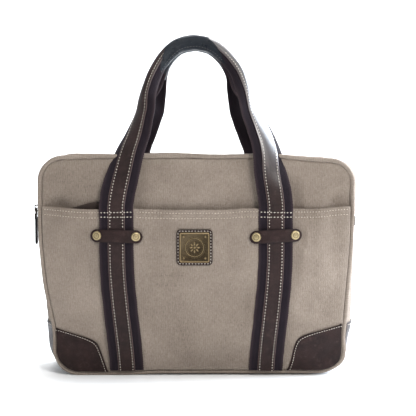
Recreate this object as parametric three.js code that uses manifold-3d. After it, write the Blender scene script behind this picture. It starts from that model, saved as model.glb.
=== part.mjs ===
// A soft canvas briefcase with leather trim: a zip-topped body with a front slip pocket, two webbing
// handles faced with leather, riveted keepers and leather corner patches. Millimetres, +Z up, -Y is the
// front, and the origin is at the bottom centre of the whole bag.
import * as THREE from "three";
import { mergeVertices } from "three/addons/utils/BufferGeometryUtils.js";
import Module from "manifold-3d";

const wasm = await Module();
wasm.setup();

// ---------------------------------------------------------------- driving dimensions

const GAP = 0.3; // round pins and between stiff pieces
const LAYER_GAP = 0.9; // between sewn layers of cloth and leather

// The seam is the line where a face panel, the gusset and the piping meet.
const SEAM = { top: 281, bottom: 3, halfTop: 199, halfBottom: 184, topRadius: 30, bottomRadius: 34 };
const SEAM_STRAIGHT_Z = 200; // the sides are upright above this
const FRONT_Y = -40;
const BACK_Y = 52;
const MID_Y = (FRONT_Y + BACK_Y) / 2;
const DEPTH = BACK_Y - FRONT_Y;

const PIPING_R = 3;
const PANEL_INSET = PIPING_R + GAP;
const CANVAS_T = 2;
const FRONT_CROWN = 11;
const BACK_CROWN = 9;
const GUSSET_OUT = 0.6; // how far the gusset's outer face stands outside the seam line
const GUSSET_CROWN = 8;

const POCKET = { mouthZ: 213, canvas: 1.6, room: 8.5 };
const FOAM_T = 3;
const LINING_T = 1;
const LINING_INSET = 6;
const BOARD = { width: 290, depth: 74, thick: 2.5 };
const DIVIDER = { thick: 6, topZ: 226, y: 24 };

const STRAP = { x: 100, xBottom: 89, half: 21.5, thick: 1.8 };
const TRIM = { half: 11, thick: 1.3 }; // the leather strip down the middle of the webbing
const PATCH_T = 1.2;
const PATCH_TOP_Z = 62;

const KEEPER = { z: 177.5, halfLength: 33, halfHeight: 8.25, thick: 1.8, rise: 5, drop: 1.8 };
const RIVET = { dx: 24.5, cap: 6, post: 1.6, dome: 2.2, washer: 4.5 };
const BADGE = { z: 163, half: 23.4, plateHalf: 19.4, corner: 5, leather: 1.6, plate: 1.8 };

const HINGE_Z = 210; // where the handles leave the sewn straps
const GRIP = { leftZ: 378, rightZ: 396, halfWidth: 7.4, halfHeight: 11, wall: 1.6 };
const FOLD = { startZ: 345, endZ: 402, halfWidth: 4.4, halfHeight: 8.2 };
const BACK_SQUEEZE = 0.07; // how much narrower the back handle's loop is at mid height
const TWIST = { startZ: 240, endZ: 428, power: 1.2 };

const ZIP = { endZ: 204, opening: 11, tapeHalf: 18, bead: 3.3, slot: 0.5 };
const SLIDER = { z: 207, length: 12, halfWidth: 5.2 };
const PULL = { width: 10, length: 36, thick: 2.4 };

// ---------------------------------------------------------------- materials

const finish = (color, roughness, metalness = 0) =>
  new THREE.MeshStandardMaterial({ color, roughness, metalness });
const CANVAS = finish(0xa3978a, 0.95);
const WEBBING = finish(0x2a2428, 0.9);
const LEATHER = finish(0x3a3032, 0.5);
const LINING = finish(0x3b2a1e, 0.8);
const FOAM = finish(0xb8b6ae, 1);
const BOARD_MATERIAL = finish(0x2a2a2a, 0.7);
const BRASS = finish(0x9a865a, 0.4, 1);

// ---------------------------------------------------------------- mesh helpers

const point = (x, y, z) => new THREE.Vector3(x, y, z);
const mix = THREE.MathUtils.lerp;
const smooth = THREE.MathUtils.smoothstep;

// n + 1 values from a to b.
const steps = (a, b, n) => Array.from({ length: n + 1 }, (_, i) => mix(a, b, i / n));

// Six times the volume that a triangle list encloses, which is negative when it is inside out.
function signedVolume(vertices, triangles) {
  let sum = 0;
  for (let i = 0; i < triangles.length; i += 3) {
    const [a, b, c] = [0, 1, 2].map((k) => vertices[triangles[i + k]]);
    sum += a.dot(point(0, 0, 0).crossVectors(b, c));
  }
  return sum;
}

// A closed geometry from vertices and triangles, turned so that its faces point out.
function closed(vertices, triangles) {
  if (signedVolume(vertices, triangles) < 0) triangles.reverse();
  const geometry = new THREE.BufferGeometry().setFromPoints(vertices);
  geometry.setIndex(triangles);
  return geometry;
}

// A solid between two grids of points, outer and inner, of the same size. wrapRows closes the grid end to
// end, and wrapColumns closes it side to side.
function shell(outer, inner, { wrapRows = false, wrapColumns = false } = {}) {
  const rows = outer.length;
  const columns = outer[0].length;
  const layer = rows * columns;
  const vertices = [...outer.flat(), ...inner.flat()];
  const at = (i, j, side) => side * layer + (i % rows) * columns + (j % columns);
  const triangles = [];
  const quad = (a, b, c, d) => triangles.push(a, b, c, a, c, d);
  const rowSpans = wrapRows ? rows : rows - 1;
  const columnSpans = wrapColumns ? columns : columns - 1;
  for (let i = 0; i < rowSpans; i++)
    for (let j = 0; j < columnSpans; j++) {
      quad(at(i, j, 0), at(i + 1, j, 0), at(i + 1, j + 1, 0), at(i, j + 1, 0));
      quad(at(i, j, 1), at(i, j + 1, 1), at(i + 1, j + 1, 1), at(i + 1, j, 1));
    }
  if (!wrapColumns)
    for (let i = 0; i < rowSpans; i++) {
      quad(at(i, 0, 0), at(i, 0, 1), at(i + 1, 0, 1), at(i + 1, 0, 0));
      const j = columns - 1;
      quad(at(i, j, 0), at(i + 1, j, 0), at(i + 1, j, 1), at(i, j, 1));
    }
  if (!wrapRows)
    for (let j = 0; j < columnSpans; j++) {
      quad(at(0, j, 0), at(0, j + 1, 0), at(0, j + 1, 1), at(0, j, 1));
      const i = rows - 1;
      quad(at(i, j, 0), at(i, j, 1), at(i, j + 1, 1), at(i, j + 1, 0));
    }
  return closed(vertices, triangles);
}

// A closed ring of closed sections, such as a welt cord round a panel.
function ring(sections) {
  const n = sections.length;
  const m = sections[0].length;
  const triangles = [];
  for (let i = 0; i < n; i++)
    for (let j = 0; j < m; j++) {
      const [a, b] = [i * m + j, i * m + ((j + 1) % m)];
      const [c, d] = [((i + 1) % n) * m + ((j + 1) % m), ((i + 1) % n) * m + j];
      triangles.push(a, b, c, a, c, d);
    }
  return closed(sections.flat(), triangles);
}

function toManifold(geometry) {
  const bare = geometry.clone();
  bare.deleteAttribute("normal");
  bare.deleteAttribute("uv");
  const merged = mergeVertices(bare, 1e-4);
  const vertProperties = new Float32Array(merged.attributes.position.array);
  const triVerts = new Uint32Array(merged.index.array);
  return new wasm.Manifold(new wasm.Mesh({ numProp: 3, vertProperties, triVerts }));
}

function fromManifold(solid) {
  const made = solid.getMesh();
  const geometry = new THREE.BufferGeometry();
  geometry.setAttribute("position", new THREE.BufferAttribute(made.vertProperties, 3));
  return geometry.setIndex(new THREE.BufferAttribute(made.triVerts, 1));
}

// The first geometry with the others cut away.
function cut(geometry, ...tools) {
  return fromManifold(tools.reduce((solid, tool) => solid.subtract(toManifold(tool)), toManifold(geometry)));
}

// Several geometries joined as one solid.
function join(...geometries) {
  return fromManifold(geometries.map(toManifold).reduce((a, b) => a.add(b)));
}

function box(sx, sy, sz, x, y, z) {
  return new THREE.BoxGeometry(sx, sy, sz).translate(x, y, z);
}

const bag = new THREE.Group();

function addPiece(name, geometry, material, place = point(0, 0, 0), turnZ = 0) {
  const mesh = new THREE.Mesh(geometry, material);
  mesh.name = name;
  mesh.position.copy(place);
  mesh.rotation.z = turnZ;
  bag.add(mesh);
  return mesh;
}

// ---------------------------------------------------------------- the body's surfaces

// Half the width between the side seams, without the corners.
function sideX(z) {
  return mix(SEAM.halfBottom, SEAM.halfTop, smooth(z, SEAM.bottom, SEAM_STRAIGHT_Z));
}

// Half the width at height z of the seam outline moved inwards by inset.
function halfWidth(z, inset = 0) {
  const full = sideX(z) - inset;
  const topR = SEAM.topRadius - inset;
  const bottomR = SEAM.bottomRadius - inset;
  const aboveTop = z - (SEAM.top - SEAM.topRadius);
  const belowBottom = SEAM.bottom + SEAM.bottomRadius - z;
  if (aboveTop > 0) return full - topR + Math.sqrt(Math.max(0, topR ** 2 - aboveTop ** 2));
  if (belowBottom > 0) return full - bottomR + Math.sqrt(Math.max(0, bottomR ** 2 - belowBottom ** 2));
  return full;
}

// Heights for the rows of a panel, close together round its corners.
function panelRows(inset, low, high, middle = 4) {
  const bottomR = SEAM.bottomRadius - inset;
  const topR = SEAM.topRadius - inset;
  const quarter = [0, 0.3, 0.6, 0.85];
  const rows = [
    ...quarter.map((q) => SEAM.bottom + inset + bottomR * (1 - Math.cos((q * Math.PI) / 2))),
    ...steps(SEAM.bottom + SEAM.bottomRadius, SEAM.top - SEAM.topRadius, middle),
    ...quarter.map((q) => SEAM.top - inset - topR * (1 - Math.cos((q * Math.PI) / 2))).reverse(),
  ];
  const kept = rows.filter((z) => z > low + 1 && z < high - 1);
  return [low, ...kept, high];
}

// 1 in the middle of a face, falling to 0 at its edges.
function crown(x, z) {
  const across = Math.min(1, Math.abs(x) / sideX(z));
  const middle = (SEAM.top + SEAM.bottom) / 2;
  const up = Math.min(1, Math.abs(z - middle) / (middle - SEAM.bottom));
  return (1 - across ** 3) * (1 - up ** 3) ** 0.8;
}

const frontFace = (x, z) => FRONT_Y - CANVAS_T / 2 - FRONT_CROWN * crown(x, z);
const backFace = (x, z) => BACK_Y + CANVAS_T / 2 + BACK_CROWN * crown(x, z);

// How far the front pocket stands off the panel behind it.
function pocketRoom(x, z) {
  const across = Math.min(1, Math.abs(x) / sideX(z));
  return POCKET.room * (1 - across ** 4) * smooth(z, SEAM.bottom, 85);
}
const pocketBack = (x, z) => frontFace(x, z) - GAP - pocketRoom(x, z);
const pocketFace = (x, z) => pocketBack(x, z) - POCKET.canvas;

// A panel between x limits given for each height, whose two faces are surfaces y(x, z).
function panel(rows, columns, left, right, outerY, innerY) {
  const grid = (y) =>
    rows.map((z) => steps(left(z), right(z), columns).map((x) => point(x, y(x, z), z)));
  return shell(grid(outerY), grid(innerY));
}

// Points down the right half of the seam outline, from the bottom centre to the top centre.
function halfOutline() {
  const { top, bottom, topRadius, bottomRadius } = SEAM;
  const bottomCentreX = sideX(bottom + bottomRadius) - bottomRadius;
  const topCentreX = SEAM.halfTop - topRadius;
  const quarter = steps(0, Math.PI / 2, 5);
  const low = quarter.map((a) => [
    bottomCentreX + bottomRadius * Math.sin(a),
    bottom + bottomRadius * (1 - Math.cos(a)),
  ]);
  const high = quarter.map((a) => [
    topCentreX + topRadius * Math.cos(a),
    top - topRadius + topRadius * Math.sin(a),
  ]);
  const side = [70, 110, 155, SEAM_STRAIGHT_Z, ZIP.endZ].map((z) => [sideX(z), z]);
  const underside = [[0, bottom], [bottomCentreX / 2, bottom]];
  const crest = [[topCentreX / 2, top], [0, top]];
  return [...underside, ...low, ...side, ...high, ...crest];
}

// The whole seam outline as stations with an outward direction, anticlockwise from the bottom centre as
// seen from the front.
function outline() {
  const right = halfOutline();
  const left = right.slice(1, -1).reverse().map(([x, z]) => [-x, z]);
  const all = [...right, ...left];
  return all.map(([x, z], i) => {
    const before = all[(i + all.length - 1) % all.length];
    const after = all[(i + 1) % all.length];
    const along = new THREE.Vector2(after[0] - before[0], after[1] - before[1]).normalize();
    return { x, z, outX: along.y, outZ: -along.x };
  });
}
const OUTLINE = outline();

// Stations of the outline from one side to the other, over the top or under the bottom. Both ends are cut
// off square at endZ, and stations closer to it than END_CLEAR are left out.
const WALK_CENTRE_Z = 150;
const END_CLEAR = 0.5;
function stationsOver(endZ) {
  const bearing = (s) => Math.atan2(s.x, s.z - WALK_CENTRE_Z);
  const upper = OUTLINE.filter((s) => s.z > endZ + END_CLEAR).sort((a, b) => bearing(b) - bearing(a));
  const end = (side) => ({ x: side * sideX(endZ), z: endZ, outX: side, outZ: 0 });
  return [end(1), ...upper, end(-1)];
}
function stationsUnder(endZ) {
  const bearing = (s) => Math.atan2(s.x, WALK_CENTRE_Z - s.z);
  const lower = OUTLINE.filter((s) => s.z < endZ - END_CLEAR).sort((a, b) => bearing(a) - bearing(b));
  const end = (side) => ({ x: side * sideX(endZ), z: endZ, outX: side, outZ: 0 });
  return [end(-1), ...lower, end(1)];
}

// How far the gusset bellies out at depth y, on the upright sides only.
function gussetCrown(station, y) {
  const across = (2 * (y - MID_Y)) / DEPTH;
  return GUSSET_CROWN * (1 - across ** 2) * Math.abs(station.outX) ** 2;
}

// A band that follows stations of the outline. Each column is [y, outer offset, inner offset].
function band(stations, columns) {
  const grid = (side) =>
    stations.map((s) =>
      columns.map((c) => {
        const out = c[side] + gussetCrown(s, c[0]);
        return point(s.x + s.outX * out, c[0], s.z + s.outZ * out);
      }),
    );
  return shell(grid(1), grid(2));
}

// Columns of the same thickness between two depths.
const evenColumns = (fromY, toY, n, outer, inner) => steps(fromY, toY, n).map((y) => [y, outer, inner]);

// ---------------------------------------------------------------- rivets and keepers

// A cap rivet along -Y with its cap seat at the origin; the washer is at depth.
function rivetGeometry(depth) {
  const { cap, post, dome, washer } = RIVET;
  const profile = [
    [0, dome],
    [cap * 0.7, dome * 0.85],
    [cap, 0.4],
    [cap * 0.93, 0],
    [post, 0],
    [post, -depth],
    [washer, -depth],
    [washer, -depth - 0.8],
    [0, -depth - 0.8],
  ];
  const points = profile.reverse().map(([r, h]) => new THREE.Vector2(r, h));
  return new THREE.LatheGeometry(points, 10);
}

// A keeper's inner face stands over the strap in the middle and comes down at both ends.
function keeperLift(dx) {
  const reach = Math.max(0, Math.abs(dx) - TRIM.half - GAP);
  return mix(KEEPER.rise, KEEPER.drop, reach / (KEEPER.halfLength - TRIM.half - GAP));
}

function addKeeper(name, centreX, surface, out) {
  const { z: midZ, halfLength, halfHeight, thick } = KEEPER;
  const flat = halfLength - halfHeight;
  const columns = [
    ...steps(-Math.PI / 2, -0.35, 4).map((a) => [-flat + halfHeight * Math.sin(a), Math.cos(a)]),
    [-RIVET.dx + 8, 1],
    [-TRIM.half - GAP, 1],
  ];
  columns[0][1] = 0.12;
  const all = [...columns, ...columns.map(([dx, tall]) => [-dx, tall]).reverse()];
  const grid = (lift) =>
    all.map(([dx, tall]) =>
      steps(-halfHeight * tall, halfHeight * tall, 2).map((dz) => {
        const x = centreX + dx;
        return point(x, surface(x, midZ) + out * (keeperLift(dx) + lift), midZ + dz);
      }),
    );
  const rivets = [-1, 1].map((side) => {
    const x = centreX + side * RIVET.dx;
    const seat = surface(x, midZ) + out * (keeperLift(RIVET.dx) + thick + GAP);
    const face = (at) => surface(at, midZ) + out * keeperLift(at - centreX);
    return { side, place: point(x, seat, midZ), turn: Math.atan((face(x + 2) - face(x - 2)) / 4) };
  });
  const holes = rivets.map((r) =>
    new THREE.CylinderGeometry(RIVET.post + GAP, RIVET.post + GAP, 30, 8)
      .rotateZ(r.turn)
      .translate(r.place.x, r.place.y, r.place.z),
  );
  addPiece(name, cut(shell(grid(thick), grid(0)), ...holes), LEATHER);
  return { rivets, holes };
}

function addRivets(keeperName, rivets, out, depth) {
  for (const { side, place, turn } of rivets) {
    const geometry = rivetGeometry(depth);
    if (out < 0) geometry.rotateX(Math.PI);
    addPiece(`${keeperName}_rivet_${side < 0 ? "l" : "r"}`, geometry, BRASS, place, turn);
  }
}

// ---------------------------------------------------------------- face panels

const strapX = (z) => mix(STRAP.xBottom, STRAP.x, smooth(z, 0, 160));

// A vertical strip on a face, such as a strap or its leather trim.
function faceStrip(side, half, low, high, surface, out, lift, thick) {
  const rows = steps(low, high, 9);
  return panel(
    rows,
    2,
    (z) => side * strapX(z) - half,
    (z) => side * strapX(z) + half,
    (x, z) => surface(x, z) + out * (lift + thick),
    (x, z) => surface(x, z) + out * lift,
  );
}

// The inner edge of a corner patch: up beside the strap, round a corner, then out to the side seam.
function patchEdge(z) {
  if (z < 38) return mix(115, 124, (z - SEAM.bottom) / 35);
  if (z < 48) return mix(124, 135, ((z - 38) / 10) ** 1.6);
  return mix(135, sideX(z) - PANEL_INSET - 1, (z - 48) / (PATCH_TOP_Z - 48));
}

function addCornerPatch(name, side, surface, out) {
  const rows = [PANEL_INSET + SEAM.bottom, 12, 20, 29, 38, 43, 48, 55, PATCH_TOP_Z];
  const geometry = panel(
    rows,
    3,
    (z) => side * patchEdge(z),
    (z) => side * halfWidth(z, PANEL_INSET),
    (x, z) => surface(x, z) + out * (LAYER_GAP + PATCH_T),
    (x, z) => surface(x, z) + out * LAYER_GAP,
  );
  addPiece(name, geometry, LEATHER);
}

// The straps, trims, keepers, rivets and corner patches of one face. Returns the rivet holes.
function dressFace(face, surface, out, rivetDepth) {
  const holes = [];
  const low = SEAM.bottom + PANEL_INSET + 0.5;
  const high = HINGE_Z - 3;
  for (const [hand, side] of [["left", -1], ["right", 1]]) {
    const webbing = faceStrip(side, STRAP.half, low, high, surface, out, LAYER_GAP, STRAP.thick);
    addPiece(`strap_${face}_${hand}`, webbing, WEBBING);
    const lift = LAYER_GAP + STRAP.thick + GAP;
    const trim = faceStrip(side, TRIM.half, low, high, surface, out, lift, TRIM.thick);
    addPiece(`strap_trim_${face}_${hand}`, trim, LEATHER);
    addCornerPatch(`corner_patch_${face}_${hand}`, side, surface, out);
    const name = `keeper_${face}_${hand}`;
    const keeper = addKeeper(name, side * STRAP.x, surface, out);
    addRivets(name, keeper.rivets, out, rivetDepth);
    holes.push(...keeper.holes);
  }
  return holes;
}

function addFacePanels() {
  const top = SEAM.top - PANEL_INSET;
  const bottom = SEAM.bottom + PANEL_INSET;
  const edge = (inset) => [(z) => -halfWidth(z, inset), (z) => halfWidth(z, inset)];

  const rows = panelRows(PANEL_INSET, bottom, top);
  const [left, right] = edge(PANEL_INSET);
  const front = panel(rows, 10, left, right, frontFace, (x, z) => frontFace(x, z) + CANVAS_T);
  addPiece("front_panel", front, CANVAS);

  const capToWasher = KEEPER.thick + KEEPER.rise + GAP;
  const frontHoles = dressFace("front", pocketFace, -1, capToWasher + POCKET.canvas);
  const pocketRows = panelRows(PANEL_INSET, bottom, POCKET.mouthZ);
  const pocket = panel(pocketRows, 10, left, right, pocketFace, pocketBack);
  addPiece("front_pocket", cut(pocket, ...frontHoles), CANVAS);

  const backHoles = dressFace("back", backFace, 1, capToWasher + CANVAS_T);
  const back = panel(rows, 10, left, right, backFace, (x, z) => backFace(x, z) - CANVAS_T);
  addPiece("back_panel", cut(back, ...backHoles), CANVAS);

  // Padding and lining lie behind each face, inside the gusset.
  const [innerLeft, innerRight] = edge(LINING_INSET);
  const innerRows = (high) => panelRows(LINING_INSET, SEAM.bottom + LINING_INSET + 2, high, 3);
  const layer = (high, face, inwards, from, thick) =>
    panel(
      innerRows(high),
      8,
      innerLeft,
      innerRight,
      (x, z) => face(x, z) + inwards * from,
      (x, z) => face(x, z) + inwards * (from + thick),
    );
  const padStart = CANVAS_T + LAYER_GAP;
  const liningStart = padStart + FOAM_T + LAYER_GAP;
  const padTop = SEAM.top - LINING_INSET - 4;
  addPiece("padding_front", layer(padTop, frontFace, 1, padStart, FOAM_T), FOAM);
  const washerRoom = backHoles.map((_, i) => {
    const side = i < 2 ? -1 : 1;
    const x = side * STRAP.x + (i % 2 ? 1 : -1) * RIVET.dx;
    const geometry = new THREE.CylinderGeometry(RIVET.washer + 3.5, RIVET.washer + 3.5, 8, 8);
    return geometry.translate(x, backFace(x, KEEPER.z) - CANVAS_T - 3.4, KEEPER.z);
  });
  addPiece("padding_back", cut(layer(padTop, backFace, -1, padStart, FOAM_T), ...washerRoom), FOAM);
  addPiece("lining_front", layer(padTop, frontFace, 1, liningStart, LINING_T), LINING);
  addPiece("lining_back", layer(padTop, backFace, -1, liningStart + 1, LINING_T), LINING);
}

// ---------------------------------------------------------------- gusset, zip band and piping

function addPiping(name, y) {
  const sections = OUTLINE.map((s) =>
    steps(0, Math.PI * 2, 6)
      .slice(0, -1)
      .map((a) => {
        const out = PIPING_R * Math.cos(a);
        return point(s.x + s.outX * out, y + PIPING_R * Math.sin(a), s.z + s.outZ * out);
      }),
  );
  addPiece(name, ring(sections), CANVAS);
}

function addGusset() {
  const front = FRONT_Y + PANEL_INSET;
  const back = BACK_Y - PANEL_INSET;
  const under = stationsUnder(ZIP.endZ - GAP);
  addPiece("gusset", band(under, evenColumns(front, back, 4, GUSSET_OUT, GUSSET_OUT - CANVAS_T)), CANVAS);

  const liningOut = GUSSET_OUT - CANVAS_T - LAYER_GAP;
  const liningSide = evenColumns(front + 4, back - 4, 4, liningOut, liningOut - LINING_T);
  addPiece("lining_gusset", band(under, liningSide), LINING);

  // Leather round each bottom corner of the gusset, from the side to the underside.
  const lift = GUSSET_OUT + LAYER_GAP;
  const patchColumns = evenColumns(front + 1, back - 1, 4, lift + PATCH_T - 0.1, lift);
  for (const [hand, side] of [["left", -1], ["right", 1]]) {
    const corner = OUTLINE.filter((s) => s.x * side > 0 && s.z < PATCH_TOP_Z);
    const stations = corner.filter((s) => s.x * side > 100);
    const flat = { x: side * 118, z: SEAM.bottom, outX: 0, outZ: -1 };
    const high = { x: side * sideX(PATCH_TOP_Z + 7), z: PATCH_TOP_Z + 7, outX: side, outZ: 0 };
    const sorted = stations.sort((a, b) => a.z - b.z || side * (a.x - b.x));
    addPiece(`corner_patch_side_${hand}`, band([flat, ...sorted, high], patchColumns), LEATHER);
  }

  const boardZ = SEAM.bottom - liningOut + LINING_T + GAP + BOARD.thick / 2;
  const board = box(BOARD.width, BOARD.depth, BOARD.thick, 0, MID_Y, boardZ);
  addPiece("base_board", board, BOARD_MATERIAL);
  const dividerLow = boardZ + BOARD.thick / 2 + 3;
  const dividerRows = [dividerLow, 60, 140, DIVIDER.topZ];
  const divider = panel(
    dividerRows,
    2,
    (z) => -(halfWidth(Math.max(z, 40)) - 12),
    (z) => halfWidth(Math.max(z, 40)) - 12,
    () => DIVIDER.y + DIVIDER.thick / 2,
    () => DIVIDER.y - DIVIDER.thick / 2,
  );
  const clipped = cut(divider, ...[-1, 1].map((s) => box(30, 20, 24, s * 184, DIVIDER.y, dividerLow)));
  addPiece("laptop_divider", clipped, LINING);
}

function addZipBand() {
  const over = stationsOver(ZIP.endZ);
  const seam = { front: FRONT_Y + PANEL_INSET, back: BACK_Y - PANEL_INSET };
  for (const [name, side] of [["front", -1], ["back", 1]]) {
    const strip = evenColumns(MID_Y + side * ZIP.opening, seam[name], 2, GUSSET_OUT, -0.4);
    addPiece(`zip_strip_${name}`, band(over, strip), CANVAS);
    const tape = [
      [MID_Y + side * ZIP.tapeHalf, -0.7, -1.5],
      [MID_Y + side * ZIP.bead, -0.7, -1.5],
      [MID_Y + side * (ZIP.bead - 0.02), 0.2, -2.4],
      [MID_Y + side * ZIP.slot, 0.2, -2.4],
    ];
    addPiece(`zip_tape_${name}`, band(over, tape), LINING);
  }
  // A leather tab covers each end of the zip.
  for (const [hand, side] of [["left", -1], ["right", 1]]) {
    const stations = [190, ZIP.endZ - 1].map((z) => ({ x: side * sideX(z), z, outX: side, outZ: 0 }));
    const columns = evenColumns(MID_Y - 13, MID_Y + 13, 3, GUSSET_OUT + GAP + 1.4, GUSSET_OUT + GAP);
    addPiece(`zip_end_tab_${hand}`, band(stations, columns), LEATHER);
  }
}

// ---------------------------------------------------------------- zip slider and pull, on the left side

function addSlider() {
  const faceX = -(SEAM.halfTop + GUSSET_CROWN); // the zip's own surface at mid depth
  const midZ = SLIDER.z + SLIDER.length / 2;
  const plate = (outer, inner, halfY) =>
    box(outer - inner, 2 * halfY, SLIDER.length, faceX - (outer + inner) / 2, MID_Y, midZ);
  const flange = (outer, inner, side) =>
    box(outer - inner, 1.4, SLIDER.length, faceX - (outer + inner) / 2, MID_Y + side * 4.5, midZ);
  const bailOut = 7.6;
  const bail = cut(
    box(bailOut - 1.8, 2.4, 9, faceX - (bailOut + 1.8) / 2, MID_Y, midZ),
    box(3.6, 5, 5.6, faceX - 4.6, MID_Y, midZ),
  );
  const body = join(
    plate(2, 0.6, SLIDER.halfWidth),
    plate(-2.8, -4.2, SLIDER.halfWidth),
    plate(0.7, -2.9, 0.2),
    flange(0.7, -0.2, -1),
    flange(0.7, -0.2, 1),
    flange(-2.0, -2.9, -1),
    flange(-2.0, -2.9, 1),
    bail,
  );
  addPiece("zip_slider", body, BRASS);

  // The link is a flat ring whose top bar lies in the slider's bail.
  const link = { out: 5.2, top: midZ - 0.2, height: 11, width: 9.6, wire: 1.4 };
  const linkZ = link.top - link.height / 2 + link.wire / 2;
  const linkX = faceX - link.out;
  const eyeWidth = link.width - 2 * link.wire;
  const ringGeometry = cut(
    box(link.wire, link.width, link.height, linkX, MID_Y, linkZ),
    box(link.wire + 2, eyeWidth, link.height - 2 * link.wire, linkX, MID_Y, linkZ),
  );
  addPiece("zip_pull_link", ringGeometry, BRASS);

  // The leather pull is looped round the link's lower bar.
  const barZ = linkZ - link.height / 2 + link.wire / 2;
  const loopDrop = 2.2;
  const loop = box(PULL.thick + 1.6, eyeWidth - 2 * GAP, 5, linkX, MID_Y, barZ);
  const tail = box(PULL.thick, PULL.width, PULL.length, linkX, MID_Y, barZ - loopDrop - PULL.length / 2);
  const hole = box(link.wire + 2 * GAP, 30, link.wire + 2 * GAP, linkX, MID_Y, barZ);
  addPiece("zip_pull_leather", cut(join(loop, tail), hole), LEATHER);
}

// ---------------------------------------------------------------- badge

function roundedSquare(half, radius) {
  const shape = new THREE.Shape();
  shape.absarc(half - radius, half - radius, radius, 0, Math.PI / 2);
  shape.absarc(radius - half, half - radius, radius, Math.PI / 2, Math.PI);
  shape.absarc(radius - half, radius - half, radius, Math.PI, Math.PI * 1.5);
  shape.absarc(half - radius, radius - half, radius, Math.PI * 1.5, Math.PI * 2);
  shape.closePath();
  return shape;
}

function addBadge() {
  const seat = pocketFace(0, BADGE.z) - 2 * GAP;
  const slab = (half, radius, depth) =>
    new THREE.ExtrudeGeometry(roundedSquare(half, radius), { depth, bevelEnabled: false, curveSegments: 3 });
  const upright = (geometry, y) => geometry.rotateX(Math.PI / 2).translate(0, y, BADGE.z);
  addPiece("badge_leather", upright(slab(BADGE.half, BADGE.corner, BADGE.leather), seat), LEATHER);
  const plate = slab(BADGE.plateHalf, 2, BADGE.plate);
  const recess = slab(BADGE.plateHalf - 2, 1.5, 1).translate(0, 0, BADGE.plate - 0.6);
  const boss = new THREE.CylinderGeometry(11, 12, 1, 20).rotateX(Math.PI / 2);
  boss.translate(0, 0, BADGE.plate - 0.3);
  const made = join(cut(plate, recess), boss);
  addPiece("badge_plate", upright(made, seat - BADGE.leather - GAP), BRASS);
}

// ---------------------------------------------------------------- handles

// Points up one leg of a handle to its top: [x, z, front lean, back lean]. A lean is the share of the way
// from the base's depth to the top's.
const HANDLE_POINTS = [
  [100, HINGE_Z + 0.5, 0, 0],
  [100, 221, 0, 0],
  [97.5, 239, 0.07, 0],
  [91, 262, 0.15, 0.02],
  [82, 287, 0.26, 0.1],
  [73.5, 310, 0.38, 0.22],
  [60, 348, 0.58, 0.48],
  [55, 366, 0.68, 0.61],
  [48, 386, 0.79, 0.76],
  [36, 404, 0.9, 0.89],
  [20, 417, 0.97, 0.97],
  [0, 421, 1, 1],
];

// The handle's centre line and frame at evenly spaced stations from the left base to the right one.
function handleStations(baseY, topY, mirror) {
  const leg = HANDLE_POINTS.map(([x, z, frontLean, backLean]) => {
    const squeeze = mirror ? 1 - BACK_SQUEEZE * Math.sin((Math.PI * (z - HINGE_Z)) / 230) ** 2 : 1;
    return point(x * squeeze, mix(baseY, topY, mirror ? backLean : frontLean), z);
  });
  const left = leg.map((p) => point(-p.x, p.y, p.z));
  const curve = new THREE.CatmullRomCurve3([...left, ...leg.slice(0, -1).reverse()], false, "centripetal");
  const count = 44;
  return steps(0, 1, count).map((t) => {
    const centre = curve.getPointAt(t);
    const along = curve.getTangentAt(t);
    const inward = point(0, 0, 0).crossVectors(along, point(0, -1, 0)).normalize();
    const front = point(0, 0, 0).crossVectors(inward, along).normalize();
    const risen = Math.max(0, (centre.z - TWIST.startZ) / (TWIST.endZ - TWIST.startZ));
    const twist = (Math.PI / 2) * risen ** TWIST.power;
    const across = inward.clone().multiplyScalar(Math.cos(twist)).addScaledVector(front, Math.sin(twist));
    const normal = point(0, 0, 0).crossVectors(across, along);
    return { centre, across, normal, fold: smooth(centre.z, FOLD.startZ, FOLD.endZ) };
  });
}

// A point of a handle's section: a along its width, n out of its face.
const onStation = (s, a, n) => s.centre.clone().addScaledVector(s.across, a).addScaledVector(s.normal, n);

// The webbing lies flat on the legs and folds into a tall double layer at the grip.
const webbingHalf = (s) => mix(STRAP.half, FOLD.halfWidth, s.fold);
const webbingThick = (s) => mix(STRAP.thick / 2, FOLD.halfHeight, s.fold ** 1.5);

// A strip along a handle. Its columns lie at the given offsets from the middle, on both sides.
function ribbon(stations, offsets, outer, inner) {
  const columns = (s) => [...offsets.map((half) => -half(s)), ...offsets.map((half) => half(s)).reverse()];
  const grid = (n) => stations.map((s) => columns(s).map((a) => onStation(s, a, n(s))));
  return shell(grid(outer), grid(inner));
}

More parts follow.
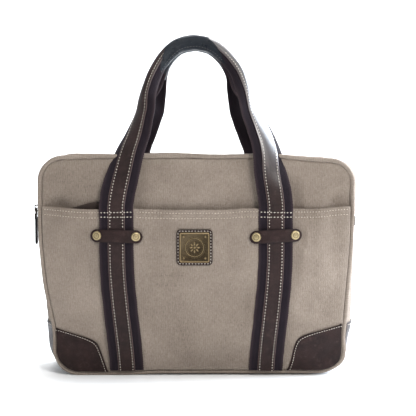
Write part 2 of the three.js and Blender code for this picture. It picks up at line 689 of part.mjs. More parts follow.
function addHandle(face, baseY, topY, mirror) {
  const stations = handleStations(baseY, topY, mirror);
  const place = (geometry) => {
    if (!mirror) return geometry;
    const mirrored = geometry.clone().scale(1, -1, 1).translate(0, 2 * MID_Y, 0);
    mirrored.index.array.reverse();
    return mirrored;
  };
  const trimHalf = (s) => webbingHalf(s) * (TRIM.half / STRAP.half);
  const webbing = ribbon(stations, [webbingHalf, trimHalf], webbingThick, (s) => -webbingThick(s));
  addPiece(`handle_webbing_${face}`, place(webbing), WEBBING);

  const gripStart = (s) => (s.centre.x < 0 ? GRIP.leftZ : GRIP.rightZ);
  for (const [hand, side] of [["left", -1], ["right", 1]]) {
    const leg = stations.filter((s) => s.centre.x * side > 0 && s.centre.z < gripStart(s) - 3);
    const base = (s) => webbingThick(s) + GAP;
    const trim = ribbon(leg, [trimHalf], (s) => base(s) + TRIM.thick, base);
    addPiece(`handle_trim_${face}_${hand}`, place(trim), LEATHER);
  }

  // The leather grip is a sleeve round the folded webbing, with tapered ends.
  const gripped = stations.filter((s) => s.centre.z > gripStart(s));
  const oval = (grow) =>
    gripped.map((s, i) =>
      steps(0, Math.PI * 2, 12)
        .slice(0, -1)
        .map((angle) => {
          const end = Math.min(i, gripped.length - 1 - i);
          const wide = mix(webbingHalf(s) * 1.45, GRIP.halfWidth, smooth(end, 0, 3)) - grow;
          const tall = mix(webbingThick(s) * 1.45, GRIP.halfHeight, smooth(end, 0, 3)) - grow;
          const corner = (v) => Math.sign(v) * Math.abs(v) ** 0.5;
          const room = { a: webbingHalf(s) + GAP, n: webbingThick(s) + GAP };
          const a = Math.max(wide, room.a + GRIP.wall - grow) * corner(Math.cos(angle));
          const n = Math.max(tall, room.n + GRIP.wall - grow) * corner(Math.sin(angle));
          return onStation(s, a, n);
        }),
    );
  const grip = shell(oval(0), oval(1), { wrapColumns: true });
  addPiece(`handle_grip_${face}`, place(grip), LEATHER);
}

function addHandles() {
  const half = STRAP.thick / 2;
  const innerX = STRAP.x - STRAP.half; // the bag stands out furthest behind a strap's inner edge
  const frontBase = pocketFace(innerX, HINGE_Z) - LAYER_GAP - half;
  const backBase = 2 * MID_Y - (backFace(innerX, HINGE_Z) + LAYER_GAP + half);
  const topY = MID_Y - GRIP.halfWidth - 1.6;
  addHandle("front", frontBase, topY, false);
  addHandle("back", backBase, topY, true);
}

// ---------------------------------------------------------------- assembly

addFacePanels();
addPiping("piping_front", FRONT_Y);
addPiping("piping_back", BACK_Y);
addGusset();
addZipBand();
addSlider();
addBadge();
addHandles();

export default bag;
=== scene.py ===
"""A soft canvas work bag with leather-faced webbing handles, a zip top and a front slip pocket.

Lengths in the classes are in millimetres and turn into metres as each mesh is finished. +Z is up and -Y is
the front, as in the frame.
"""

import sys
import logging
import math
from dataclasses import dataclass
from enum import Enum
from typing import Callable, Sequence

import bmesh
import bpy
from mathutils import Matrix, Vector, noise


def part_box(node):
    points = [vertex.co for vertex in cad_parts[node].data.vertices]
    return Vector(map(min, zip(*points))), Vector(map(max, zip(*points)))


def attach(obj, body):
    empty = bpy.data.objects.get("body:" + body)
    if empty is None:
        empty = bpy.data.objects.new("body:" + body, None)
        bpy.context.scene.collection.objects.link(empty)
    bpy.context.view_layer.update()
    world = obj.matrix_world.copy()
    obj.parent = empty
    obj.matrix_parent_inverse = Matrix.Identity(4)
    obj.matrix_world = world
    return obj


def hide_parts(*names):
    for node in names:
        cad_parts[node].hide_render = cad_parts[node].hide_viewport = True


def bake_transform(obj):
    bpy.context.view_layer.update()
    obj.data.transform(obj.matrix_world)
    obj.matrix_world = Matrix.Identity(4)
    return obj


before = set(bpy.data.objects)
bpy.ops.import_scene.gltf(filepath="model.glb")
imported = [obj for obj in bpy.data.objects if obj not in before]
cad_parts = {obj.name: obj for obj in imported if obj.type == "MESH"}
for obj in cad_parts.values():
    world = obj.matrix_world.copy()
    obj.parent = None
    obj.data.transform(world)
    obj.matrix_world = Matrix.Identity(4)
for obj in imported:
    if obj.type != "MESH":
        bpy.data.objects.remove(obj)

MM = 0.001
log = logging.getLogger("bag")

BMesh = bmesh.types.BMesh
Material = bpy.types.Material
Socket = bpy.types.NodeSocket
Colour = tuple[float, float, float]
Place = Callable[[float, float], Vector]
Spot = tuple[float, float]
Point = tuple[float, float, float]


class Side(Enum):
    """A choice of side whose name stands in the names of pieces."""

    @property
    def word(self) -> str:
        """The side's name in small letters."""
        return self.name.lower()


class Face(Side):
    """The two big faces of the bag, by the sign of their outward Y."""

    FRONT = -1
    BACK = 1


class Hand(Side):
    """Left or right as seen from the front, by the sign of X."""

    LEFT = -1
    RIGHT = 1


def mix(a: float, b: float, t: float) -> float:
    """The value a share t of the way from a to b."""
    return a + (b - a) * t


def spread(low: float, high: float, count: int) -> list[float]:
    """Evenly spaced values from low to high."""
    return [mix(low, high, i / (count - 1)) for i in range(count)]


def ease(value: float, low: float, high: float) -> float:
    """0 below low, 1 above high and a smooth climb between."""
    t = min(1.0, max(0.0, (value - low) / (high - low)))
    return t * t * (3 - 2 * t)


def bump_at(distance: float, width: float) -> float:
    """A bell of height 1 that has faded at about twice its width."""
    return math.exp(-((distance / width) ** 2))


def drift(x: float, y: float, seed: float) -> float:
    """Smooth noise from about -1 to 1."""
    return 2.0 * noise.noise(Vector((x, y, seed)))


def curve_through(knots: Sequence[Vector], spot: float) -> Vector:
    """A point of the smooth curve that passes through every knot.

    Args:
        knots: The points to pass through.
        spot: How far along it is, in knots.

    Returns:
        The point.
    """
    last = len(knots) - 1
    i = min(last - 1, int(spot))
    t = spot - i
    a, b, c, d = (knots[max(0, min(last, i + k))] for k in (-1, 0, 1, 2))
    return 0.5 * (2 * b + (c - a) * t + (2 * a - 5 * b + 4 * c - d) * t**2 + (3 * b - a - 3 * c + d) * t**3)


# The bag's form


@dataclass(frozen=True)
class Form:
    """The outline and faces that every sewn piece is cut to."""

    seam_top: float = 281.0
    seam_bottom: float = 3.0
    half_top: float = 199.0
    half_bottom: float = 184.0
    top_radius: float = 30.0
    bottom_radius: float = 34.0
    straight_z: float = 200.0
    front_y: float = -40.0
    back_y: float = 52.0
    front_crown: float = 11.0
    back_crown: float = 9.0
    canvas: float = 2.0
    pocket_canvas: float = 1.6
    pocket_room: float = 8.5
    mouth_z: float = 217.2
    gusset_out: float = 0.6
    gusset_crown: float = 8.0
    welt: float = 3.0
    zip_end_z: float = 204.0
    strap_x: float = 100.0
    strap_x_bottom: float = 89.0
    strap_half: float = 21.5
    keeper_z: float = 182.0
    sag: float = 4.5
    foot_spread: float = 7.0
    tuck: float = 5.0
    lifted: float = 2.0
    dent_left: float = 5.0
    dent_right: float = 5.5
    badge_z: float = 167.8

    @property
    def mid_y(self) -> float:
        """Half way between the two faces."""
        return (self.front_y + self.back_y) / 2

    def side_x(self, z: float) -> float:
        """Half the width between the side seams at height z, without the corners."""
        return mix(self.half_bottom, self.half_top, ease(z, self.seam_bottom, self.straight_z))

    def half_width(self, z: float, inset: float = 0.0) -> float:
        """Half the width at height z of the seam outline, moved in by inset.

        Args:
            z: Height.
            inset: How far inside the seam.

        Returns:
            Half the width, with the rounded corners taken off.
        """
        full = self.side_x(z) - inset
        above = z - (self.seam_top - self.top_radius)
        below = self.seam_bottom + self.bottom_radius - z
        for over, radius in ((above, self.top_radius - inset), (below, self.bottom_radius - inset)):
            if over > 0:
                return full - radius + math.sqrt(max(0.0, radius**2 - over**2))
        return full

    def crown(self, x: float, z: float) -> float:
        """1 in the middle of a face, falling to 0 at its edges.

        Args:
            x: Distance to the right of the middle.
            z: Height.

        Returns:
            The share of the face's full crown.
        """
        across = min(1.0, abs(x) / self.side_x(z))
        middle = (self.seam_top + self.seam_bottom) / 2
        up = min(1.0, abs(z - middle) / (middle - self.seam_bottom))
        return (1 - across**3) * (1 - up**3) ** 0.8

    def panel_y(self, face: Face, x: float, z: float) -> float:
        """The outside of a face panel.

        Args:
            face: Which face.
            x: Distance to the right of the middle.
            z: Height.

        Returns:
            The y of its smooth outer surface.
        """
        if face is Face.FRONT:
            return self.front_y - self.canvas / 2 - self.front_crown * self.crown(x, z)
        return self.back_y + self.canvas / 2 + self.back_crown * self.crown(x, z)

    def pocket_y(self, x: float, z: float) -> float:
        """The outside of the front pocket.

        Args:
            x: Distance to the right of the middle.
            z: Height.

        Returns:
            The y of its smooth outer surface.
        """
        across = min(1.0, abs(x) / self.side_x(z))
        room = self.pocket_room * (1 - across**4) * ease(z, self.seam_bottom, 85)
        return self.panel_y(Face.FRONT, x, z) - 0.3 - room - self.pocket_canvas

    def outer_y(self, face: Face, x: float, z: float) -> float:
        """The surface that straps, keepers and patches lie on."""
        return self.pocket_y(x, z) if face is Face.FRONT else self.panel_y(face, x, z)

    def strap_centre(self, z: float) -> float:
        """How far the middle of a sewn strap is from the middle of the bag."""
        return mix(self.strap_x_bottom, self.strap_x, ease(z, 0, 160))

    def belly(self, x: float, z: float, y: float, out_x: float) -> float:
        """How far the gusset swells out at depth y: more on the right, but less at the right's foot.

        Args:
            x: Distance to the right of the middle.
            z: Height.
            y: Depth.
            out_x: How far the seam's outward direction points sideways.

        Returns:
            The swell outwards.
        """
        across = 2 * (y - self.mid_y) / (self.back_y - self.front_y)
        fuller = 0.0 if x < 0 else 0.7 - 0.75 * bump_at(z - 180, 52) - 0.9 * (1 - ease(z, 22, 66))
        return self.gusset_crown * (1 + fuller) * (1 - across**2) * out_x**2

    def dents(self, face: Face, x: float, z: float) -> float:
        """How deep a panel is pushed in above the pocket's two top corners.

        Args:
            face: Which face.
            x: Distance to the right of the middle.
            z: Height.

        Returns:
            The depth of the dent.
        """
        if face is Face.BACK:
            return 0.0
        left = self.dent_left * bump_at(math.hypot(x + 176, (z - 219) * 1.2), 13)
        return left + self.dent_right * bump_at(math.hypot(x - 184, (z - 226) * 0.8), 13)

    def settle(self, p: Vector) -> Vector:
        """Lets the filled bag slump: it sags at the top right, spreads at the bottom right and is tucked in
        at the lower left of its front.

        Args:
            p: A point of the body as it was cut.

        Returns:
            The point where the cloth comes to rest.
        """
        sag = self.sag * ease(p.x, 95, 190) * ease(p.z, 190, 281)
        sag += 1.2 * ease(-p.x, 60, 190) * ease(p.z, 200, 281)
        sag += 1.3 * drift(p.x / 75, p.y / 60, 3.3) * ease(p.z, 215, 281)
        spread = (2.6 * bump_at(p.z - 50, 62) + self.foot_spread * bump_at(p.z - 12, 20)) * ease(p.x, 60, 184)
        tuck = self.tuck * bump_at(p.z - 58, 36) * ease(-p.x, 110, 190) * (1 - ease(p.y, -38, -8))
        arch = self.lifted * ease(p.x, -95, -45) * (1 - ease(p.z, 0, 60))
        return Vector((p.x + spread + tuck, p.y, p.z - sag + arch))

    def calm(self, x: float, z: float) -> float:
        """How freely the cloth may ripple: near 0 under straps, badge and corner leather.

        Args:
            x: Distance to the right of the middle.
            z: Height.

        Returns:
            0 where the cloth is held still, 1 where it is free.
        """
        beside_strap = abs(abs(x) - self.strap_centre(z))
        under_strap = 1 - 0.9 * (1 - ease(beside_strap, self.strap_half + 2, self.strap_half + 16))
        from_badge = max(abs(x), abs(z - self.badge_z))
        under_badge = 1 - 0.85 * (1 - ease(from_badge, 25, 42))
        at_corner = 1 - 0.9 * ease(abs(x), 112, 135) * (1 - ease(z, 55, 75))
        beside_keeper = max(abs(abs(x) - self.strap_x) - 33, abs(z - self.keeper_z) - 9)
        under_keeper = 1 - 0.8 * (1 - ease(beside_keeper, 0, 9))
        return under_strap * under_badge * at_corner * under_keeper

    def pucker(self, along: float, from_seam: float, seed: float) -> float:
        """The small gathers that a row of stitches draws up beside a seam."""
        wave = math.sin(along * 0.55 + 3 * drift(along / 30, 0.0, seed)) + 0.6 * drift(along / 5, 1.0, seed)
        return 0.42 * wave * math.exp(-from_seam / 7.0)

    def ripple(self, x: float, z: float, seed: float) -> float:
        """How far soft cloth stands out from its smooth shape at a point of a face.

        Args:
            x: Distance to the right of the middle.
            z: Height.
            seed: Which pattern of folds.

        Returns:
            The distance outwards.
        """
        wide = 2.3 * drift(x / 85, z / 60, seed)
        folds = 1.1 * drift(x / 26, z / 70, seed + 5)
        small = 0.32 * drift(x / 11, z / 13, seed + 9)
        return (wide + folds + small) * self.calm(x, z)

    def slack(self, face: Face, x: float, z: float) -> float:
        """How far a face panel stands out from its smooth shape, with its dents and its seam gathers.

        Args:
            face: Which face.
            x: Distance to the right of the middle.
            z: Height.

        Returns:
            The distance outwards.
        """
        seed = 1.7 if face is Face.FRONT else 21.3
        from_seam = self.edge_distance(x, z)
        out = self.ripple(x, z, seed) * ease(from_seam, 2, 26) + self.pucker(x + z, from_seam, seed)
        out -= self.dents(face, x, z)
        if face is Face.FRONT:
            out += 1.5 * bump_at(math.hypot(x + 150, z - 245), 24)
            out -= 1.6 * bump_at(x - 62, 12) * ease(z, 205, 235)
            out *= mix(0.3, 1.0, ease(z, 188, 206))
        return out

    def edge_distance(self, x: float, z: float) -> float:
        """How far a point of a face is from the seam round it."""
        return max(0.0, min(self.half_width(z) - abs(x), z - self.seam_bottom, self.seam_top - z))


FORM = Form()


# Finishes


class NodeBench:
    """Builds one procedural finish out of shader nodes."""

    def __init__(self, name: str, roughness: float = 0.8, metallic: float = 0.0) -> None:
        """Starts a material with a plain shader.

        Args:
            name: The finish's name.
            roughness: The shader's own roughness, used where nothing is linked to it.
            metallic: 1 for metal, 0 for all else.
        """
        self.material = bpy.data.materials.new(name)
        self.material.use_nodes = True
        self.tree = self.material.node_tree
        self.shader = next(n for n in self.tree.nodes if n.type == "BSDF_PRINCIPLED")
        self.shader.inputs["Roughness"].default_value = roughness
        self.shader.inputs["Metallic"].default_value = metallic

    def node(self, kind: str, inputs: dict | None = None, **settings: object) -> bpy.types.Node:
        """Adds a node, with its settings and input values or links.

        Args:
            kind: The node's type name.
            inputs: Values or sockets by input name or number.
            settings: Properties of the node itself.

        Returns:
            The new node.
        """
        made = self.tree.nodes.new(kind)
        for key, value in settings.items():
            setattr(made, key, value)
        for key, value in (inputs or {}).items():
            if isinstance(value, Socket):
                self.tree.links.new(value, made.inputs[key])
            else:
                made.inputs[key].default_value = value
        return made

    def cloth(self) -> Socket:
        """The piece's own flat pattern, in metres."""
        return self.node("ShaderNodeUVMap", uv_map="cloth").outputs["UV"]

    def space(self) -> Socket:
        """The piece's place in the bag, in metres."""
        return self.node("ShaderNodeTexCoord").outputs["Object"]

    def painted(self, name: str) -> Socket:
        """A value that was painted on the mesh as it was made."""
        return self.node("ShaderNodeAttribute", attribute_name=name).outputs["Fac"]

    def stretched(self, vector: Socket, scale: Sequence[float]) -> Socket:
        """The vector scaled differently along each axis."""
        return self.node("ShaderNodeMapping", {"Vector": vector, "Scale": tuple(scale)}).outputs[0]

    def grain(self, vector: Socket, scale: float, detail: float = 2.0, roughness: float = 0.5) -> Socket:
        """Cloudy noise from 0 to 1."""
        inputs = {"Vector": vector, "Scale": scale, "Detail": detail, "Roughness": roughness}
        return self.node("ShaderNodeTexNoise", inputs).outputs[0]

    def cells(self, vector: Socket, scale: float) -> Socket:
        """The distance to the nearest wall between cells.

        Args:
            vector: Where the cells lie.
            scale: How many fit in a metre.

        Returns:
            The distance.
        """
        inputs = {"Vector": vector, "Scale": scale}
        made = self.node("ShaderNodeTexVoronoi", inputs, feature="DISTANCE_TO_EDGE")
        return made.outputs["Distance"]

    def math(self, operation: str, a: object, b: object = 0.0) -> Socket:
        """A sum, product or wave of two values."""
        return self.node("ShaderNodeMath", {0: a, 1: b}, operation=operation).outputs[0]

    def total(self, *parts: tuple[Socket, float]) -> Socket:
        """The sum of several values, each times its share.

        Args:
            parts: Each value with its share.

        Returns:
            The sum.
        """
        scaled = [value if share == 1.0 else self.math("MULTIPLY", value, share) for value, share in parts]
        made = scaled[0]
        for value in scaled[1:]:
            made = self.math("ADD", made, value)
        return made

    def slubs(self, vector: Socket, along_x: float, along_y: float) -> Socket:
        """Noise drawn out into thick places of a thread, from its two scales."""
        return self.grain(self.stretched(vector, (along_x, along_y, 1)), 1.0, 3.0, 0.6)

    def axis(self, vector: Socket, name: str) -> Socket:
        """One coordinate of a vector."""
        return self.node("ShaderNodeSeparateXYZ", {0: vector}).outputs[name]

    def span(
        self, value: Socket, low: float, high: float, to_low: float = 0.0, to_high: float = 1.0
    ) -> Socket:
        """The value moved from one range to another and held inside it."""
        inputs = {"Value": value, "From Min": low, "From Max": high, "To Min": to_low, "To Max": to_high}
        return self.node("ShaderNodeMapRange", inputs).outputs[0]

    def blend(self, share: object, a: object, b: object) -> Socket:
        """Two colours mixed, with share the part of the second.

        Args:
            share: How much of the second colour.
            a: The first colour.
            b: The second colour.

        Returns:
            The mixed colour.
        """
        colours = [(*c, 1.0) if isinstance(c, tuple) else c for c in (a, b)]
        made = self.node("ShaderNodeMix", {0: share, 6: colours[0], 7: colours[1]}, data_type="RGBA")
        return made.outputs[2]

    def wave(self, value: object, period: float) -> Socket:
        """A sine from 0 to 1 with the given period."""
        turned = self.math("MULTIPLY", value, 2 * math.pi / period)
        return self.math("MULTIPLY_ADD", self.math("SINE", turned), 0.5)

    def drive(self, name: str, socket: Socket) -> None:
        """Links one of the shader's own inputs."""
        self.tree.links.new(socket, self.shader.inputs[name])

    def relief(self, height: Socket, depth: float, strength: float = 1.0) -> None:
        """Raises the surface by height times depth, in metres."""
        made = self.node("ShaderNodeBump", {"Height": height, "Distance": depth, "Strength": strength})
        self.drive("Normal", made.outputs["Normal"])

    def dull(self, level: float) -> None:
        """Lowers the mirror part of the surface: 0.5 is plain plastic, 0 is none."""
        self.shader.inputs["Specular IOR Level"].default_value = level

    def sheen(self, weight: float, roughness: float = 0.5) -> None:
        """Gives cloth its soft bright edge."""
        self.shader.inputs["Sheen Weight"].default_value = weight
        self.shader.inputs["Sheen Roughness"].default_value = roughness


@dataclass(frozen=True)
class CanvasFinish:
    """Heavy cotton canvas with a faint upright rib, slubs and paler worn edges."""

    name: str = "cotton_canvas"
    light: Colour = (0.264, 0.217, 0.180)
    dark: Colour = (0.112, 0.087, 0.067)
    worn: Colour = (0.29, 0.245, 0.205)
    rib: float = 0.0023
    weft: float = 0.0012

    def make(self) -> Material:
        """Builds the finish.

        Returns:
            The material.
        """
        bench = NodeBench(self.name, roughness=0.92)
        cloth = bench.cloth()
        wobble = bench.grain(bench.stretched(cloth, (90, 300, 1)), 1.0, 3.0, 0.7)
        across = bench.total((bench.axis(cloth, "X"), 1.0), (wobble, 0.0032))
        rib = bench.wave(across, self.rib)
        weft = bench.wave(bench.axis(cloth, "Y"), self.weft)
        warp_slub = bench.slubs(cloth, 1300, 170)
        weft_slub = bench.slubs(cloth, 220, 1300)
        fibre = bench.grain(cloth, 900.0, 3.0, 0.65)
        mottle = bench.grain(cloth, 330.0, 3.0, 0.7)
        blotch = bench.grain(cloth, 17.0, 4.0, 0.6)
        cloud = bench.grain(cloth, 6.0, 2.0, 0.5)
        threads = bench.math("MULTIPLY", rib, bench.math("MULTIPLY_ADD", weft, 0.35))
        tone = bench.total(
            (warp_slub, 0.5), (weft_slub, 0.25), (rib, 0.075), (fibre, 0.32), (mottle, 0.3), (blotch, 0.4),
            (cloud, 0.35),
        )
        cloth_colour = bench.blend(bench.span(tone, 0.87, 1.35), self.dark, self.light)
        edge = bench.span(bench.painted("edge"), 0.0, 1.0, 0.0, 0.22)
        bench.drive("Base Color", bench.blend(edge, cloth_colour, self.worn))
        height = bench.total((threads, 0.28), (fibre, 0.6), (warp_slub, 0.7), (weft_slub, 0.5))
        bench.relief(height, 0.0008, 0.85)
        bench.dull(0.25)
        return bench.material


@dataclass(frozen=True)
class WebbingFinish:
    """Dark cotton webbing with fine slanting ribs and worn selvedges."""

    name: str = "cotton_webbing"
    dark: Colour = (0.0055, 0.0036, 0.0060)
    light: Colour = (0.0165, 0.0112, 0.0150)
    selvedge: Colour = (0.050, 0.033, 0.035)
    rib: float = 0.0016
    cord: float = 0.0021

    def make(self) -> Material:
        """Builds the finish.

        Returns:
            The material.
        """
        bench = NodeBench(self.name, roughness=0.9)
        cloth = bench.cloth()
        across = bench.axis(cloth, "X")
        along = bench.axis(cloth, "Y")
        slant = bench.math("ADD", along, bench.math("MULTIPLY", across, 0.9))
        rib = bench.wave(slant, self.rib)
        cord = bench.wave(across, self.cord)
        fuzz = bench.grain(cloth, 1300.0, 3.0, 0.7)
        patch = bench.slubs(cloth, 180, 60)
        tone = bench.total((rib, 0.35), (fuzz, 0.55), (patch, 0.4))
        colour = bench.blend(bench.span(tone, 0.35, 1.0), self.dark, self.light)
        edge = bench.span(bench.painted("edge"), 0.55, 1.0, 0.0, 0.5)
        bench.drive("Base Color", bench.blend(edge, colour, self.selvedge))
        bench.relief(bench.total((rib, 1.0), (cord, 0.4), (fuzz, 0.7)), 0.0004, 0.8)
        bench.dull(0.12)
        bench.sheen(0.05, 0.4)
        return bench.material


@dataclass(frozen=True)
class LeatherFinish:
    """Grained leather with creases, rubbed high spots and darker painted edges; the strap leather's paler
    edges are instead a painted highlight.
    """

    name: str = "brown_leather"
    deep: Colour = (0.0115, 0.0068, 0.0062)
    body: Colour = (0.027, 0.0148, 0.0135)
    rubbed: Colour = (0.056, 0.034, 0.030)
    edge: Colour = (0.006, 0.0045, 0.005)
    gloss: Spot = (0.36, 0.60)
    mirror: float = 0.09
    polish: float = 0.0

    def make(self) -> Material:
        """Builds the finish.

        Returns:
            The material.
        """
        bench = NodeBench(self.name)
        space = bench.space()
        pores = bench.cells(space, 950.0)
        fine = bench.grain(space, 1500.0, 3.0, 0.6)
        cloud = bench.grain(space, 55.0, 5.0, 0.65)
        crease = bench.cells(bench.stretched(space, (1.0, 1.0, 1.6)), 85.0)
        crackle = bench.span(crease, 0.0, 0.09)
        tone = bench.total((cloud, 0.75), (fine, 0.3))
        colour = bench.blend(bench.span(tone, 0.35, 0.72), self.deep, self.body)
        high = bench.span(bench.grain(space, 140.0, 4.0, 0.7), 0.56, 0.75, 0.0, 0.5)
        colour = bench.blend(high, colour, self.rubbed)
        colour = bench.blend(bench.span(crackle, 0.0, 1.0, 0.35, 0.0), colour, self.deep)
        painted = bench.span(bench.painted("edge"), 0.6, 1.0)
        bench.drive("Base Color", bench.blend(painted, colour, self.edge))
        bench.drive("Roughness", bench.span(cloud, 0.3, 0.7, *self.gloss))
        pitted = bench.span(pores, 0.0, 0.25, 0.0, 0.6)
        bench.relief(bench.total((pitted, 1.0), (fine, 0.4), (crackle, 0.5)), 0.00022, 0.7)
        bench.dull(self.mirror)
        if self.polish:
            shine = bench.span(bench.painted("polish"), 0.0, 1.0, 0.0, self.polish)
            bench.drive("Coat Weight", shine)
            bench.shader.inputs["Coat IOR"].default_value = 1.85
            bench.shader.inputs["Coat Roughness"].default_value = 0.35
        return bench.material


@dataclass(frozen=True)
class BrassFinish:
    """Antique brass: dark in its hollows and bright where it is rubbed."""

    name: str = "antique_brass"
    bright: Colour = (0.37, 0.295, 0.165)
    dull: Colour = (0.085, 0.065, 0.038)
    gloss: tuple[float, float] = (0.28, 0.55)

    def make(self) -> Material:
        """Builds the finish.

        Returns:
            The material.
        """
        bench = NodeBench(self.name, metallic=1.0)
        space = bench.space()
        tarnish = bench.grain(space, 420.0, 5.0, 0.7)
        speck = bench.grain(space, 1900.0, 2.0, 0.6)
        raised = bench.painted("relief")
        tone = bench.total((tarnish, 0.55), (raised, 0.6), (speck, 0.15))
        bench.drive("Base Color", bench.blend(bench.span(tone, 0.3, 0.95), self.dull, self.bright))
        bench.drive("Roughness", bench.span(tarnish, 0.3, 0.7, *self.gloss))
        bench.relief(bench.total((tarnish, 1.0), (speck, 0.4)), 0.00012, 0.6)
        return bench.material


@dataclass(frozen=True)
class ClothFinish:
    """Plain close cloth for lining, tape and foam."""

    name: str
    light: Colour
    dark: Colour
    thread: float = 0.0007
    rough: float = 0.9

    def make(self) -> Material:
        """Builds the finish.

        Returns:
            The material.
        """
        bench = NodeBench(self.name, roughness=self.rough)
        cloth = bench.cloth()
        fibre = bench.grain(cloth, 1000.0, 3.0, 0.6)
        across, along = (bench.wave(bench.axis(cloth, name), self.thread) for name in "XY")
        weave = bench.math("MULTIPLY", across, along)
        tone = bench.total((fibre, 0.7), (weave, 0.4))
        bench.drive("Base Color", bench.blend(bench.span(tone, 0.25, 0.85), self.dark, self.light))
        bench.relief(tone, 0.0002, 0.6)
        bench.sheen(0.1)
        return bench.material


@dataclass(frozen=True)
class ThreadFinish:
    """Waxed sewing thread."""

    name: str = "pale_thread"
    light: Colour = (0.66, 0.60, 0.52)
    dark: Colour = (0.38, 0.33, 0.27)

    def make(self) -> Material:
        """Builds the finish.

        Returns:
            The material.
        """
        bench = NodeBench(self.name, roughness=0.6)
        grime = bench.grain(bench.space(), 160.0, 4.0, 0.7)
        twist = bench.grain(bench.space(), 2600.0, 2.0, 0.5)
        tone = bench.total((grime, 0.8), (twist, 0.25))
        bench.drive("Base Color", bench.blend(bench.span(tone, 0.3, 0.75), self.dark, self.light))
        bench.relief(twist, 0.00008, 0.5)
        return bench.material


@dataclass(frozen=True)
class Dressing:
    """A finish with the record's material slot that it stands for."""

    material: Material
    slot: str

    def put_on(self, node: bpy.types.Object) -> None:
        """Dresses a CAD node that keeps its shape."""
        node.data.materials.clear()
        node.data.materials.append(self.material)


class Finishes:
    """Every finish on the bag, made once."""

    def __init__(self) -> None:
        """Makes them."""
        self.canvas = Dressing(CanvasFinish().make(), "canvas")
        self.webbing = Dressing(WebbingFinish().make(), "webbing")
        self.leather = Dressing(LeatherFinish().make(), "brown_leather")
        grip = LeatherFinish(
            "grip_leather", (0.004, 0.0055, 0.008), (0.010, 0.0135, 0.019), (0.022, 0.027, 0.034),
            (0.004, 0.005, 0.006), (0.22, 0.4), mirror=0.16,
        )
        self.grip = Dressing(grip.make(), "grip_leather")
        # The strap leather's pale edge colour is a painted highlight along the trims' cut edges.
        strap = LeatherFinish(
            "strap_leather", edge=(0.075, 0.052, 0.048), gloss=(0.32, 0.46), mirror=0.12, polish=1.0
        )
        self.strap_leather = Dressing(strap.make(), "brown_leather")
        self.brass = Dressing(BrassFinish().make(), "antique_brass")
        plate = BrassFinish("plate_brass", (0.20, 0.145, 0.078), (0.052, 0.038, 0.023), (0.3, 0.5))
        self.plate = Dressing(plate.make(), "antique_brass")
        metal = BrassFinish("zip_metal", (0.10, 0.078, 0.052), (0.03, 0.022, 0.016), (0.42, 0.62))
        self.zip_metal = Dressing(metal.make(), "zip_metal")
        self.thread = Dressing(ThreadFinish().make(), "brown_leather")
        self.bar_thread = Dressing(self.thread.material, "webbing")
        pale = ThreadFinish("canvas_thread", (0.50, 0.425, 0.35), (0.33, 0.275, 0.22))
        self.canvas_thread = Dressing(pale.make(), "canvas")
        dark = ThreadFinish("grip_thread", (0.12, 0.105, 0.10), (0.05, 0.045, 0.045))
        self.grip_thread = Dressing(dark.make(), "grip_leather")
        # The lining colour is very dark partly as painted shade: on the pocket facing it stands in for the
        # shade inside the gaping pocket mouth.
        lining = ClothFinish("lining_cloth", (0.034, 0.016, 0.009), (0.012, 0.006, 0.004))
        self.lining = Dressing(lining.make(), "lining")
        tape = ClothFinish("zip_tape_cloth", (0.075, 0.052, 0.04), (0.035, 0.024, 0.018))
        self.tape = Dressing(tape.make(), "zip_tape")
        foam = ClothFinish("padding_foam", (0.62, 0.60, 0.54), (0.44, 0.42, 0.38), 0.0013)
        self.foam = Dressing(foam.make(), "foam")
        board = ClothFinish("base_board_fibre", (0.035, 0.033, 0.03), (0.015, 0.014, 0.013))
        self.board = Dressing(board.make(), "board")


# Making pieces


@dataclass
class Workshop:
    """Turns a bmesh in millimetres into a finished piece that rides on a body of the frame."""

    finishes: Finishes

    def piece(
        self,
        bm: BMesh,
        name: str,
        dressing: Dressing,
        body: str | None = "bag",
        replaces: Sequence[str] = (),
        thickness: float = 0.0,
        bevel: float = 0.0,
    ) -> bpy.types.Object:
        """Finishes a piece.

        Args:
            bm: The shape, in millimetres. It is freed.
            name: The piece's name.
            dressing: Its finish and slot.
            body: The body it rides on, or None to leave the piece on no body.
            replaces: The CAD nodes it stands for.
            thickness: How far to thicken a sheet, inwards from its normals.
            bevel: How wide to round its sharp edges.

        Returns:
            The finished object.
        """
        bmesh.ops.scale(bm, vec=(MM, MM, MM), verts=bm.verts)
        for face in bm.faces:
            face.smooth = True
        mesh = bpy.data.meshes.new(name)
        bm.to_mesh(mesh)
        bm.free()
        mesh.materials.append(dressing.material)
        made = bpy.data.objects.new(name, mesh)
        bpy.context.scene.collection.objects.link(made)
        if thickness:
            wall = made.modifiers.new("wall", "SOLIDIFY")
            wall.thickness = thickness * MM
            wall.offset = -1
            wall.use_even_offset = False
        if bevel:
            rounding = made.modifiers.new("rounding", "BEVEL")
            rounding.width = bevel * MM
            rounding.segments = 2
            rounding.limit_method = "ANGLE"
            rounding.angle_limit = math.radians(50)
        if thickness or bevel:
            self.bake(made)
        if replaces:
            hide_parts(*replaces)
        if body:
            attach(made, body)
        log.info("%s: %d faces", name, len(made.data.polygons))
        return made

    def bake(self, made: bpy.types.Object) -> None:
        """Makes a piece's modifiers part of its mesh.

        Args:
            made: The piece.
        """
        bpy.context.view_layer.update()
        graph = bpy.context.evaluated_depsgraph_get()
        mesh = bpy.data.meshes.new_from_object(
            made.evaluated_get(graph), preserve_all_data_layers=True, depsgraph=graph
        )
        old = made.data
        made.modifiers.clear()
        made.data = mesh
        mesh.name = made.name
        bpy.data.meshes.remove(old)


